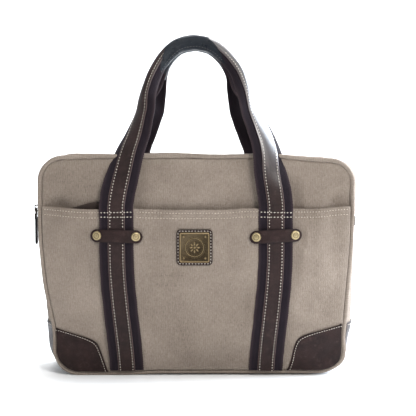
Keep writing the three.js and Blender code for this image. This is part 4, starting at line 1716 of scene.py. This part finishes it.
@dataclass
class Keepers(Maker):
    """The four leather tabs that hold the straps down, each with two cap rivets."""

    half_length: float = 33.0
    half_height: float = 8.25
    thick: float = 1.8
    rise: float = 5.0
    drop: float = 1.8
    rivet_dx: float = 24.5

    def build(self) -> None:
        """Makes every keeper and rivet."""
        for face in Face:
            for hand in Hand:
                self.keeper(face, hand)

    def lift(self, dx: float) -> float:
        """How high the tab's inner face stands over the canvas."""
        reach = max(0.0, abs(dx) - 11.3)
        return mix(self.rise, self.drop, ease(reach, 0, self.half_length - 13))

    def outer(self, face: Face, x: float, dx: float) -> float:
        """The y of the tab's outer face."""
        return self.form.outer_y(face, x, self.form.keeper_z) + face.value * (self.lift(dx) + self.thick)

    def keeper(self, face: Face, hand: Hand) -> None:
        """One tab, bulging over the strap, and its rivets.

        Args:
            face: Which face it is on.
            hand: Which strap it holds.
        """
        form = self.form
        tilt = {(Face.FRONT, Hand.LEFT): -0.022, (Face.FRONT, Hand.RIGHT): 0.045}.get((face, hand), 0.0)
        centre = hand.value * form.strap_x

        def place(u: float, v: float) -> Vector:
            """The point of the tab."""
            dx = self.half_length * math.sin(math.pi / 2 * mix(-1, 1, u))
            over = max(0.0, abs(dx) - (self.half_length - self.half_height))
            tall = math.sqrt(max(0.09, self.half_height**2 - over**2))
            dz = mix(-tall, tall, v)
            edge = 0.5 * bump_at(1 - abs(mix(-1, 1, v)), 0.22)
            y = self.outer(face, centre + dx, dx) - face.value * edge
            bow = 0.4 * (dx / self.half_length) ** 2
            return Vector((centre + dx, y, form.keeper_z + dz + tilt * dx - bow))

        def edge(u: float, v: float) -> float:
            """The painted edge of the tab."""
            return max(abs(2 * v - 1), abs(2 * u - 1) ** 1.5) ** 5

        name = f"keeper_{face.word}_{hand.word}"
        bm = sheet_grid(44, 14, place, lambda u, v: Vector((u * 66, v * 16, 0)), edge, flip=face is Face.BACK)
        self.shop.piece(
            bm, f"{name}_tab", self.finish.leather, replaces=[name], thickness=self.thick, bevel=0.45
        )
        for side in Hand:
            dx = side.value * self.rivet_dx
            x = centre + dx
            slope = (self.outer(face, x + 2, dx + 2) - self.outer(face, x - 2, dx - 2)) / 4
            z = form.keeper_z + tilt * dx
            self.rivet(name, side, Vector((x, self.outer(face, x, dx), z)), face, math.atan(slope))

    def rivet(self, keeper: str, side: Hand, at: Vector, face: Face, turn: float) -> None:
        """One cap rivet, pressed into the leather, with a rolled ring round its cap.

        Args:
            keeper: The tab that it fastens.
            side: Which end of the tab.
            at: Where the cap sits.
            face: Which way it looks.
            turn: How far it leans round the bag.
        """
        profile = [
            (0, 1.75), (1.4, 1.78), (2.6, 1.66), (3.1, 1.42), (3.6, 1.46), (4.1, 1.72), (4.8, 1.62),
            (5.4, 1.2), (5.85, 0.55), (5.9, 0.1), (5.5, -0.3), (1.6, -0.3), (1.6, -6.6), (4.2, -6.6),
            (4.2, -7.3), (0, -7.3),
        ]
        bright = [0.45, 0.6, 0.7, 0.1, 0.15, 0.9, 0.9, 0.7, 0.35, 0.1, 0, 0, 0, 0, 0, 0]
        bm = turned(profile, 36, bright)
        if face is Face.BACK:
            bmesh.ops.rotate(bm, verts=bm.verts, cent=(0, 0, 0), matrix=Matrix.Rotation(math.pi, 3, "Z"))
        bmesh.ops.rotate(bm, verts=bm.verts, cent=(0, 0, 0), matrix=Matrix.Rotation(turn, 3, "Z"))
        bmesh.ops.translate(bm, verts=bm.verts, vec=at)
        end = "l" if side is Hand.LEFT else "r"
        self.shop.piece(bm, f"{keeper}_cap_{end}", self.finish.brass, replaces=[f"{keeper}_rivet_{end}"])


# Badge


@dataclass
class Badge(Maker):
    """The square leather badge with its brass plate in the middle of the pocket."""

    x: float = -2.0
    half: float = 22.6
    plate_half: float = 18.8
    ring: float = 11.4

    def build(self) -> None:
        """Makes the badge."""
        self.seat = self.form.pocket_y(0, self.form.badge_z) - 0.6
        self.patch()
        self.plate()
        self.stitches()

    def slab(self, half: float, radius: float, depth: float, rim: float) -> BMesh:
        """A flat square with round corners, facing -Y, its back at y = 0.

        Args:
            half: Half its side.
            radius: The radius of its corners.
            depth: Its thickness.
            rim: How wide its front edge is rounded.

        Returns:
            The slab.
        """
        bm = bmesh.new()
        bmesh.ops.create_cube(bm, size=1.0)
        bmesh.ops.scale(bm, vec=(2 * half, depth, 2 * half), verts=bm.verts)
        bmesh.ops.translate(bm, vec=(0, -depth / 2, 0), verts=bm.verts)
        corners = [e for e in bm.edges if abs(e.verts[0].co.y - e.verts[1].co.y) > depth / 2]
        self.round_off(bm, corners, radius, 6)
        front = [
            e for e in bm.edges
            if all(v.co.y < -depth + 0.01 for v in e.verts) and len(e.link_faces) == 2
            and e.calc_face_angle(0) > 1
        ]
        self.round_off(bm, front, rim, 3)
        return bm

    def round_off(self, bm: BMesh, edges: list[bmesh.types.BMEdge], offset: float, segments: int) -> None:
        """Rounds some edges of the slab.

        Args:
            bm: The slab.
            edges: The edges.
            offset: How wide.
            segments: In how many steps.
        """
        bmesh.ops.bevel(
            bm, geom=edges, offset=offset, offset_type="OFFSET", segments=segments, profile=0.5,
            affect="EDGES", material=-1,
        )

    def patch(self) -> None:
        """The leather square."""
        bm = self.slab(self.half, 5.0, 1.6, 0.6)
        paint = bm.verts.layers.float.new("edge")
        for vert in bm.verts:
            vert[paint] = 1.0 if max(abs(vert.co.x), abs(vert.co.z)) > self.half - 0.5 else 0.0
        bmesh.ops.translate(bm, vec=(self.x, self.seat, self.form.badge_z), verts=bm.verts)
        self.shop.piece(bm, "badge_leather_square", self.finish.leather, replaces=["badge_leather"])

    def plate(self) -> None:
        """The brass plate: a raised rim, corner studs, a ring between two rows of beads and a rosette."""
        bm = self.slab(self.plate_half, 2.2, 1.8, 0.35)
        paint = bm.verts.layers.float.new("relief")
        front = max(bm.faces, key=lambda f: f.calc_area() * (f.calc_center_median().y < -1.5))
        bmesh.ops.inset_individual(bm, faces=[front], thickness=0.9, depth=0.0)
        bmesh.ops.inset_individual(bm, faces=[front], thickness=0.5, depth=-0.6)
        for vert in bm.verts:
            vert[paint] = 1.0 if vert.co.y < -1.7 else 0.0
        for sx in (-1, 1):
            for sz in (-1, 1):
                self.dome(bm, Vector((sx * 13.6, -1.25, sz * 13.6)), 1.6, 1.1, 1.0)
        for radius, count, size in ((13.2, 40, 0.55), (9.6, 28, 0.42)):
            for i in range(count):
                a = 2 * math.pi * i / count
                self.dome(bm, Vector((radius * math.cos(a), -1.25, radius * math.sin(a))), size, 0.7, 0.8)
        for i in range(8):
            a = 2 * math.pi * i / 8
            at = Vector((4.6 * math.cos(a), -1.25, 4.6 * math.sin(a)))
            self.petal(bm, at, a)
        self.dome(bm, Vector((0, -1.3, 0)), 1.9, 1.3, 1.0)
        bmesh.ops.translate(bm, vec=(self.x, self.seat - 1.6, self.form.badge_z), verts=bm.verts)
        self.shop.piece(bm, "badge_brass_plate", self.finish.plate, replaces=["badge_plate"])
        near, far = self.ring - 0.5, self.ring + 0.5
        profile = [(near, 0.4), (self.ring, 0.75), (far, 0.4), (far, 0), (near, 0), (near, 0.4)]
        ring = turned(profile, 60, [0.6, 1, 0.6, 0, 0, 0.6])
        bmesh.ops.translate(ring, vec=(self.x, self.seat - 1.6 - 1.2, self.form.badge_z), verts=ring.verts)
        self.shop.piece(ring, "badge_ring", self.finish.plate)

    def dome(self, bm: BMesh, at: Vector, radius: float, height: float, shine: float) -> None:
        """Adds a small round boss to the plate.

        Args:
            bm: The plate.
            at: Its middle.
            radius: Its radius.
            height: How far it stands out.
            shine: How bright it is rubbed.
        """
        paint = bm.verts.layers.float.get("relief")
        matrix = Matrix.Translation(at) @ Matrix.Diagonal((radius, height, radius, 1.0))
        made = bmesh.ops.create_uvsphere(bm, u_segments=10, v_segments=6, radius=1.0, matrix=matrix)
        for vert in made["verts"]:
            vert[paint] = shine * ease(at.y - vert.co.y, 0.1, height)

    def petal(self, bm: BMesh, at: Vector, angle: float) -> None:
        """Adds one leaf of the rosette.

        Args:
            bm: The plate.
            at: Its middle.
            angle: Which way it points.
        """
        paint = bm.verts.layers.float.get("relief")
        size = Matrix.Diagonal((2.6, 0.75, 1.15, 1.0))
        matrix = Matrix.Translation(at) @ Matrix.Rotation(-angle, 4, "Y") @ size
        made = bmesh.ops.create_uvsphere(bm, u_segments=12, v_segments=6, radius=1.0, matrix=matrix)
        for vert in made["verts"]:
            vert[paint] = ease(at.y - vert.co.y, 0.1, 0.7)

    def stitches(self) -> None:
        """One row round the leather, just outside the plate."""
        reach = self.half - 2.0
        corner = 3.2
        line: list[Vector] = []
        for quarter in range(4):
            for i in range(7):
                a = math.pi / 2 * (quarter + i / 6)
                cx = self.x + (reach - corner) * (1 if quarter in (0, 3) else -1)
                cz = (reach - corner) * (1 if quarter in (0, 1) else -1)
                z = self.form.badge_z + cz + corner * math.sin(a)
                line.append(Vector((cx + corner * math.cos(a), self.seat - 1.75, z)))
        line.append(line[0].copy())
        self.seam("badge_stitches", line, Vector((0, -1, 0)), 3.9, (2.6, 0.8, 0.6))


# Corner leather


@dataclass
class CornerLeather(Maker):
    """The leather on the bag's bottom corners: on both faces and round the gusset."""

    top_z: float = 62.0
    right_rise: float = 5.0
    thick: float = 1.2
    start_x: float = 113.5
    free_edge: tuple[Spot, ...] = ((113.5, 5.6), (117.5, 19), (122, 33), (127.5, 44), (138, 50), (158, 55.5))

    def build(self) -> None:
        """Makes the six patches."""
        for hand in Hand:
            for face in Face:
                self.face_patch(face, hand)
            self.gusset_patch(hand)

    def inner_edge(self, t: float) -> Spot:
        """The patch's free edge, from the bottom seam (t = 0) to the side seam (t = 1).

        Args:
            t: How far along the edge.

        Returns:
            Its x and z.
        """
        side = self.form.side_x(self.top_z) - 3.0
        knots = [Vector(knot) for knot in (*self.free_edge, (side, self.top_z))]
        return tuple(curve_through(knots, t * (len(knots) - 1)))

    def outer_edge(self, t: float) -> Spot:
        """The patch's sewn edge, from the bottom seam round the corner to the side seam.

        Args:
            t: How far along the edge.

        Returns:
            Its x and z.
        """
        form = self.form
        inset = form.welt - 0.3
        low = form.seam_bottom + inset
        radius = form.bottom_radius - inset
        corner_x = form.side_x(form.seam_bottom + form.bottom_radius) - form.bottom_radius
        flat, arc = corner_x - self.start_x, radius * math.pi / 2
        up = self.top_z - form.seam_bottom - form.bottom_radius
        run = t * (flat + arc + up)
        if run < flat:
            return self.start_x + run, low
        if run < flat + arc:
            z = low + radius * (1 - math.cos((run - flat) / radius))
            return form.half_width(z, inset), z
        z = low + radius + (run - flat - arc)
        return form.half_width(z, inset), z

    def lay(self, face: Face, x: float, z: float, lift: float) -> Vector:
        """A point lifted off one face."""
        return self.form.settle(Vector((x, self.form.outer_y(face, x, z) + face.value * lift, z)))

    def face_patch(self, face: Face, hand: Hand) -> None:
        """One corner of a face.

        Args:
            face: Which face.
            hand: Which corner.
        """

        def spot(u: float, v: float) -> Spot:
            """The flat x and z, with u from the free edge to the seam and v along them."""
            a, b = self.inner_edge(v), self.outer_edge(v)
            z = mix(a[1], b[1], u)
            rise = self.right_rise * ease(z, 12, 50) if hand is Hand.RIGHT else 0.0
            return mix(a[0], b[0], u) * hand.value, z + rise

        def place(u: float, v: float) -> Vector:
            """The point of the leather, turned down along its free edge."""
            x, z = spot(u, v)
            roll = 0.5 * bump_at(u, 0.05)
            dent = 0.5 * drift(x / 22, z / 20, 7.0 + face.value) + 0.25 * drift(x / 8, z / 9, 2.0)
            lift = 0.9 + self.thick + max(-0.6, dent) - roll + 0.5 * bump_at(u - 0.12, 0.1)
            return self.lay(face, x, z, lift)

        name = f"corner_patch_{face.word}_{hand.word}"
        bm = sheet_grid(
            30, 44, place, lambda u, v: Vector((*spot(u, v), 0)),
            lambda u, v: max(bump_at(u, 0.035), 0.9 * bump_at(1 - u, 0.05)),
            flip=(face is Face.FRONT) == (hand is Hand.LEFT),
        )
        bm.normal_update()
        middle = min(bm.faces, key=lambda f: abs(f.calc_center_median().z - 30))
        if middle.normal.y * face.value < 0:
            bmesh.ops.reverse_faces(bm, faces=bm.faces)
        self.shop.piece(
            bm, f"{name}_leather", self.finish.leather, replaces=[name], thickness=self.thick, bevel=0.35
        )
        line = []
        for v in spread(0.02, 0.985, 60):
            x, z = spot(0.0, v)
            bx, bz = spot(1.0, v)
            inward = Vector((bx - x, bz - z)).normalized() * 2.9
            line.append(self.lay(face, x + inward.x, z + inward.y, 0.9 + self.thick + 0.75))
        self.seam(f"{name}_stitches", line, Vector((0, face.value, 0)))

    def gusset_patch(self, hand: Hand) -> None:
        """The leather round one bottom corner of the gusset.

        Args:
            hand: Which corner.
        """
        form = self.form
        body = CanvasBody(self.shop)
        stations = [s for s in Outline(form).under(self.top_z + 7) if s.x * hand.value > self.start_x + 2.5]
        stations.sort(key=lambda s: s.run)

        def out(y: float, run: float) -> float:
            """The leather's height over the canvas."""
            return form.gusset_out + 0.9 + self.thick - 0.25 + 0.18 * drift(run / 20, y / 18, 12.0)

        low, high = form.front_y + form.welt, form.back_y - form.welt
        bm = body.band(stations, 22, (low, high), out)
        name = f"corner_patch_side_{hand.word}"
        self.shop.piece(
            bm, f"{name}_leather", self.finish.leather, replaces=[name], thickness=self.thick - 0.1, bevel=0.3
        )
        top = max(stations, key=lambda s: s.z)
        line = []
        for y in spread(low + 2, high - 2, 30):
            p = top.at(form.gusset_out + 2.1 + form.belly(top.x, top.z, y, top.out_x), y)
            line.append(form.settle(Vector((p.x, p.y, p.z - 2.8))))
        self.seam(f"{name}_stitches", line, Vector((hand.value, 0, 0)))


# Zip


@dataclass
class ZipClosure(Maker):
    """The zip over the top: two tapes with teeth, a slider with its pull, and an end tab at each side."""

    tape_half: float = 18.0
    pitch: float = 2.6
    tooth: Point = (0.95, 3.6, 1.5)
    sewn: float = 13.2
    tab_z: Spot = (190.0, 203.0)
    tab_half: float = 13.0

    def build(self) -> None:
        """Makes the whole zip."""
        self.stations = Outline(self.form).over(self.form.zip_end_z - 1)
        for face in Face:
            self.tape(face)
            self.teeth(face)
        self.slider()
        for hand in Hand:
            self.end_tab(hand)
            self.tape_stitches(hand)

    def surface(self, station: OutlineStation, y: float, out: float) -> Vector:
        """A point of the zip band."""
        swell = self.form.belly(station.x, station.z, y, station.out_x)
        return self.form.settle(station.at(out + swell, y))

    def tape(self, face: Face) -> None:
        """One woven tape.

        Args:
            face: The side of the zip it is on.
        """
        mid = self.form.mid_y
        near, far = mid + face.value * 1.0, mid + face.value * self.tape_half
        count = len(self.stations) - 1

        def place(u: float, v: float) -> Vector:
            """The point of the tape."""
            return self.surface(self.stations[int(round(v * count))], mix(*sorted((near, far)), u), -0.7)

        bm = sheet_grid(8, count, place, lambda u, v: Vector((v * 560, u * 17, 0)))
        self.shop.piece(
            bm, f"zip_tape_{face.word}_cloth", self.finish.tape,
            replaces=[f"zip_tape_{face.word}"], thickness=0.8,
        )

    def teeth(self, face: Face) -> None:
        """The row of teeth along one tape, set between those of the other.

        Args:
            face: The tape they are on.
        """
        mid = self.form.mid_y
        line = [self.surface(s, mid, 0.1) for s in self.stations]
        bm = bmesh.new()
        bm.verts.layers.float.new("relief")
        spots = along_line(line, self.pitch / 2)
        for i, (at, along) in enumerate(spots):
            if (i % 2 == 0) != (face is Face.FRONT):
                continue
            out = along.cross(Vector((0, 1, 0))) * -1
            turn = Matrix((along, Vector((0, 1, 0)), out)).transposed().to_4x4()
            size = Matrix.Diagonal((*self.tooth, 1.0))
            place = Matrix.Translation(at + Vector((0, face.value * 1.1, 0))) @ turn @ size
            bmesh.ops.create_cube(bm, size=1.0, matrix=place)
        bmesh.ops.recalc_face_normals(bm, faces=bm.faces)
        self.shop.piece(bm, f"zip_teeth_{face.word}", self.finish.zip_metal)

    def slider(self) -> None:
        """Finishes the slider and its link, which keep their CAD shape, and makes the leather pull."""
        for node in ("zip_slider", "zip_pull_link"):
            self.finish.zip_metal.put_on(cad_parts[node])
        low, high = (Vector(p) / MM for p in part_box("zip_pull_leather"))
        centre = (low + high) / 2
        half_width, top = (high.y - low.y) / 2, high.z

        def place(u: float, v: float) -> Vector:
            """The point of the pull's outer face, narrow at its neck and round at its tip."""
            drop = mix(0, top - low.z, v)
            neck = mix(0.62, 1.0, ease(drop, 3, 9))
            tip = max(0.0, drop - (top - low.z - half_width))
            round_end = math.sqrt(max(0.02, 1 - (tip / half_width) ** 2))
            y = centre.y + mix(-1, 1, u) * half_width * neck * round_end
            thick = mix(2.0, 1.2, ease(drop, 4, 9))
            return Vector((centre.x - thick, y, top - drop))

        bm = sheet_grid(
            10, 40, place, lambda u, v: Vector((u * 10, v * 40, 0)), lambda u, v: abs(2 * u - 1) ** 4
        )
        bm.normal_update()
        bm.faces.ensure_lookup_table()
        if bm.faces[len(bm.faces) // 2].normal.x > 0:
            bmesh.ops.reverse_faces(bm, faces=bm.faces)
        self.shop.piece(
            bm, "zip_pull_tongue", self.finish.leather, body="zip_pull",
            replaces=["zip_pull_leather"], thickness=2.4, bevel=0.4,
        )

    def end_tab(self, hand: Hand) -> None:
        """The leather tab over one end of the zip.

        Args:
            hand: Which end.
        """
        form = self.form
        mid = form.mid_y

        def place(u: float, v: float) -> Vector:
            """The point of the tab."""
            y = mix(mid - self.tab_half, mid + self.tab_half, u)
            z = mix(*self.tab_z, v)
            reach = form.side_x(z) + form.gusset_out + 1.7 + form.belly(hand.value, z, y, 1.0)
            return form.settle(Vector((hand.value * reach, y, z)))

        bm = sheet_grid(16, 10, place, lambda u, v: Vector((u * 26, v * 13, 0)),
                        lambda u, v: max(abs(2 * u - 1), abs(2 * v - 1)) ** 6, flip=hand is Hand.LEFT)
        name = f"zip_end_tab_{hand.word}"
        self.shop.piece(bm, f"{name}_leather", self.finish.leather, replaces=[name], thickness=1.2, bevel=0.3)

    def tape_stitches(self, hand: Hand) -> None:
        """The row that sews each canvas strip to its tape; left is the front strip, right the back one.

        Args:
            hand: Which strip.
        """
        form = self.form
        y = form.mid_y + hand.value * self.sewn
        line = [self.surface(s, y, form.gusset_out + 0.35) for s in self.stations]
        back = Vector((0, 1, 0))
        rows = [Stitch(at, along, along.cross(back) * -1) for at, along in along_line(line, 3.3)]
        side = "front" if hand is Hand.LEFT else "back"
        self.shop.piece(
            StitchRow(2.4, 0.7, 0.6).sew(rows), f"zip_strip_{side}_stitches", self.finish.canvas_thread
        )


# Inside


@dataclass
class Interior(Maker):
    """What is inside the bag: padding, lining, the laptop divider and the base board."""

    padding_depth: float = 2.9
    divider_y: float = 24.0
    divider_z: Spot = (13.0, 226.0)
    channel: float = 25.0

    def build(self) -> None:
        """Makes the inner layers."""
        for face, lining_depth in ((Face.FRONT, 6.8), (Face.BACK, 7.8)):
            self.layer("padding", face, self.padding_depth, 3.0, self.finish.foam)
            self.layer("lining", face, lining_depth, 1.0, self.finish.lining)
        self.gusset_lining()
        self.divider()
        self.finish.board.put_on(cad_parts["base_board"])

    def layer(self, kind: str, face: Face, depth: float, thick: float, dressing: Dressing) -> None:
        """One layer behind a face panel.

        Args:
            kind: padding or lining.
            face: Which face it backs.
            depth: How far inside the canvas its outer side lies.
            thick: Its thickness.
            dressing: Its finish and slot.
        """
        form = self.form

        def spot(u: float, v: float) -> Spot:
            """The flat x and z."""
            z = mix(11, 270, v)
            return mix(-1, 1, u) * form.half_width(z, 6.5), z

        def place(u: float, v: float) -> Vector:
            """The point of the layer."""
            x, z = spot(u, v)
            ripple = 0.25 * drift(x / 40, z / 40, depth)
            inwards = depth + ripple - form.slack(face, x, z)
            return form.settle(Vector((x, form.panel_y(face, x, z) - face.value * inwards, z)))

        name = f"{kind}_{face.word}"
        bm = sheet_grid(60, 44, place, lambda u, v: Vector((*spot(u, v), 0)), flip=face is Face.BACK)
        made = self.shop.piece(bm, f"{name}_layer", dressing, replaces=[name], thickness=thick)

    def gusset_lining(self) -> None:
        """The lining of the sides and bottom."""
        form = self.form
        body = CanvasBody(self.shop)
        bm = body.band(
            Outline(form).under(form.zip_end_z), 12, (form.front_y + 7.5, form.back_y - 7.5),
            lambda y, run: form.gusset_out - 3.1,
        )
        made = self.shop.piece(
            bm, "lining_gusset_layer", self.finish.lining, replaces=["lining_gusset"], thickness=0.9
        )

    def divider(self) -> None:
        """The padded divider in front of the laptop sleeve, quilted in upright channels."""
        form = self.form

        def place_side(side: float) -> Place:
            """One side of the divider, as a place for each u and v.

            Args:
                side: -1 for its front, 1 for its back.

            Returns:
                The place function.
            """

            def place(u: float, v: float) -> Vector:
                """The point of the divider's cloth."""
                z = mix(*self.divider_z, v)
                x = mix(-1, 1, u) * (form.half_width(max(z, 40), 0) - 12 - 16 * (1 - ease(z, 13, 26)))
                channel = abs(math.sin(x / self.channel * math.pi / 2)) ** 0.5
                edge = ease(min(1 - abs(2 * u - 1), v, 1 - v), 0, 0.03)
                return Vector((x, self.divider_y + side * (0.4 + 2.4 * channel * edge), z))

            return place

        both = bmesh.new()
        for side in (-1.0, 1.0):
            bm = sheet_grid(
                90, 24, place_side(side), lambda u, v: Vector((u * 370, v * 213, 0)), flip=side > 0
            )
            mesh = bpy.data.meshes.new("divider_side")
            bm.to_mesh(mesh)
            bm.free()
            both.from_mesh(mesh)
            bpy.data.meshes.remove(mesh)
        rims = [e for e in both.edges if e.is_boundary]
        bmesh.ops.bridge_loops(both, edges=rims)
        bmesh.ops.recalc_face_normals(both, faces=both.faces)
        made = self.shop.piece(both, "laptop_divider_pad", self.finish.lining, replaces=["laptop_divider"])


# Studio


@dataclass
class Studio:
    """The pale floor, the soft lights and the camera."""

    camera_at: Point = (0.012, -1.25, 0.295)
    aim: Point = (0.0150, -0.05, 0.2165)
    lens: float = 82.2
    paper_half: float = 9.0
    wall_y: float = 1.2
    wall_top: float = 7.0
    lights: tuple[tuple[str, Point, Point, float, float, Colour], ...] = (
        ("key", (0.74, -1.5, 1.42), (0.0, 0.0, 0.2), 0.55, 30.8, (1.0, 0.985, 0.96)),
        ("fill", (-1.3, -1.1, 0.7), (0.0, 0.0, 0.2), 1.4, 4.5, (0.93, 0.96, 1.0)),
        ("top", (0.1, 0.35, 1.5), (0.0, 0.0, 0.3), 0.9, 12.0, (0.9, 0.95, 1.0)),
        ("wall", (0.0, 0.7, 2.4), (0.0, 2.1, 0.6), 1.5, 60.0, (1.0, 1.0, 1.0)),
        ("side", (1.38, 0.42, 0.84), (0.07, 0.0, 0.33), 1.3, 95.0, (0.82, 0.9, 1.0)),
        ("rim", (1.05, 1.1, 0.8), (0.06, 0.0, 0.37), 0.8, 45.0, (0.85, 0.92, 1.0)),
    )

    def build(self) -> None:
        """Sets up the shot."""
        self.floor()
        for light in self.lights:
            self.light(*light)
        self.world()
        self.camera()

    def floor(self) -> None:
        """A sheet of pale paper that sweeps up behind the bag."""
        bm = bmesh.new()
        verts = [bm.verts.new((-self.paper_half, y, z)) for y, z in self.sweep()]
        edges = [bm.edges.new(pair) for pair in zip(verts, verts[1:])]
        made = bmesh.ops.extrude_edge_only(bm, edges=edges)
        moved = [v for v in made["geom"] if isinstance(v, bmesh.types.BMVert)]
        bmesh.ops.translate(bm, vec=(2 * self.paper_half, 0, 0), verts=moved)
        bmesh.ops.recalc_face_normals(bm, faces=bm.faces)
        for face in bm.faces:
            face.smooth = True
        mesh = bpy.data.meshes.new("studio_floor")
        bm.to_mesh(mesh)
        bm.free()
        paper = NodeBench("studio_paper", roughness=0.9)
        paper.shader.inputs["Base Color"].default_value = (0.90, 0.90, 0.895, 1)
        mesh.materials.append(paper.material)
        floor = bpy.data.objects.new("studio_floor", mesh)
        bpy.context.scene.collection.objects.link(floor)

    def sweep(self) -> list[tuple[float, float]]:
        """The paper's profile as y and z.

        Returns:
            The points of the profile.
        """
        line = [(-self.paper_half, 0.0), (self.wall_y, 0.0)]
        for i in range(1, 13):
            a = math.pi / 2 * i / 12
            line.append((self.wall_y + math.sin(a), 1 - math.cos(a)))
        return [*line, (self.wall_y + 1.0, self.wall_top)]

    def light(self, name: str, at: Point, to: Point, size: float, power: float, colour: Colour) -> None:
        """One soft square light.

        Args:
            name: Its name.
            at: Where it stands, in metres.
            to: What it points at.
            size: Its side.
            power: Watts.
            colour: Its tint.
        """
        data = bpy.data.lights.new(name, "AREA")
        data.size, data.energy, data.color = size, power, colour
        made = bpy.data.objects.new(name, data)
        made.location = at
        made.rotation_mode = "QUATERNION"
        made.rotation_quaternion = (Vector(at) - Vector(to)).to_track_quat("Z", "Y")
        bpy.context.scene.collection.objects.link(made)

    def world(self) -> None:
        """Even white light from all round."""
        world = bpy.data.worlds.new("studio_air")
        world.use_nodes = True
        back = next(n for n in world.node_tree.nodes if n.type == "BACKGROUND")
        back.inputs["Color"].default_value = (0.95, 0.97, 1.0, 1)
        back.inputs["Strength"].default_value = 0.46
        bpy.context.scene.world = world
        bpy.context.scene.view_settings.view_transform = "Standard"

    def camera(self) -> None:
        """The camera in front, a little above the top of the bag."""
        data = bpy.data.cameras.new("view")
        data.sensor_width = 36.0
        data.lens = self.lens
        data.clip_end = 20
        made = bpy.data.objects.new("view", data)
        made.location = self.camera_at
        made.rotation_mode = "QUATERNION"
        made.rotation_quaternion = (Vector(self.camera_at) - Vector(self.aim)).to_track_quat("Z", "Y")
        bpy.context.scene.collection.objects.link(made)
        bpy.context.scene.camera = made


def main() -> None:
    """Builds the bag piece by piece and then the studio round it."""
    logging.basicConfig(level=logging.INFO, format="%(name)s: %(message)s", stream=sys.stdout)
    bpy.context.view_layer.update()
    shop = Workshop(Finishes())
    Studio().build()
    CanvasBody(shop).build()
    for face in Face:
        Handle(shop, face=face).build()
    Keepers(shop).build()
    Badge(shop).build()
    CornerLeather(shop).build()
    ZipClosure(shop).build()
    Interior(shop).build()


if __name__ == "__main__":
    main()
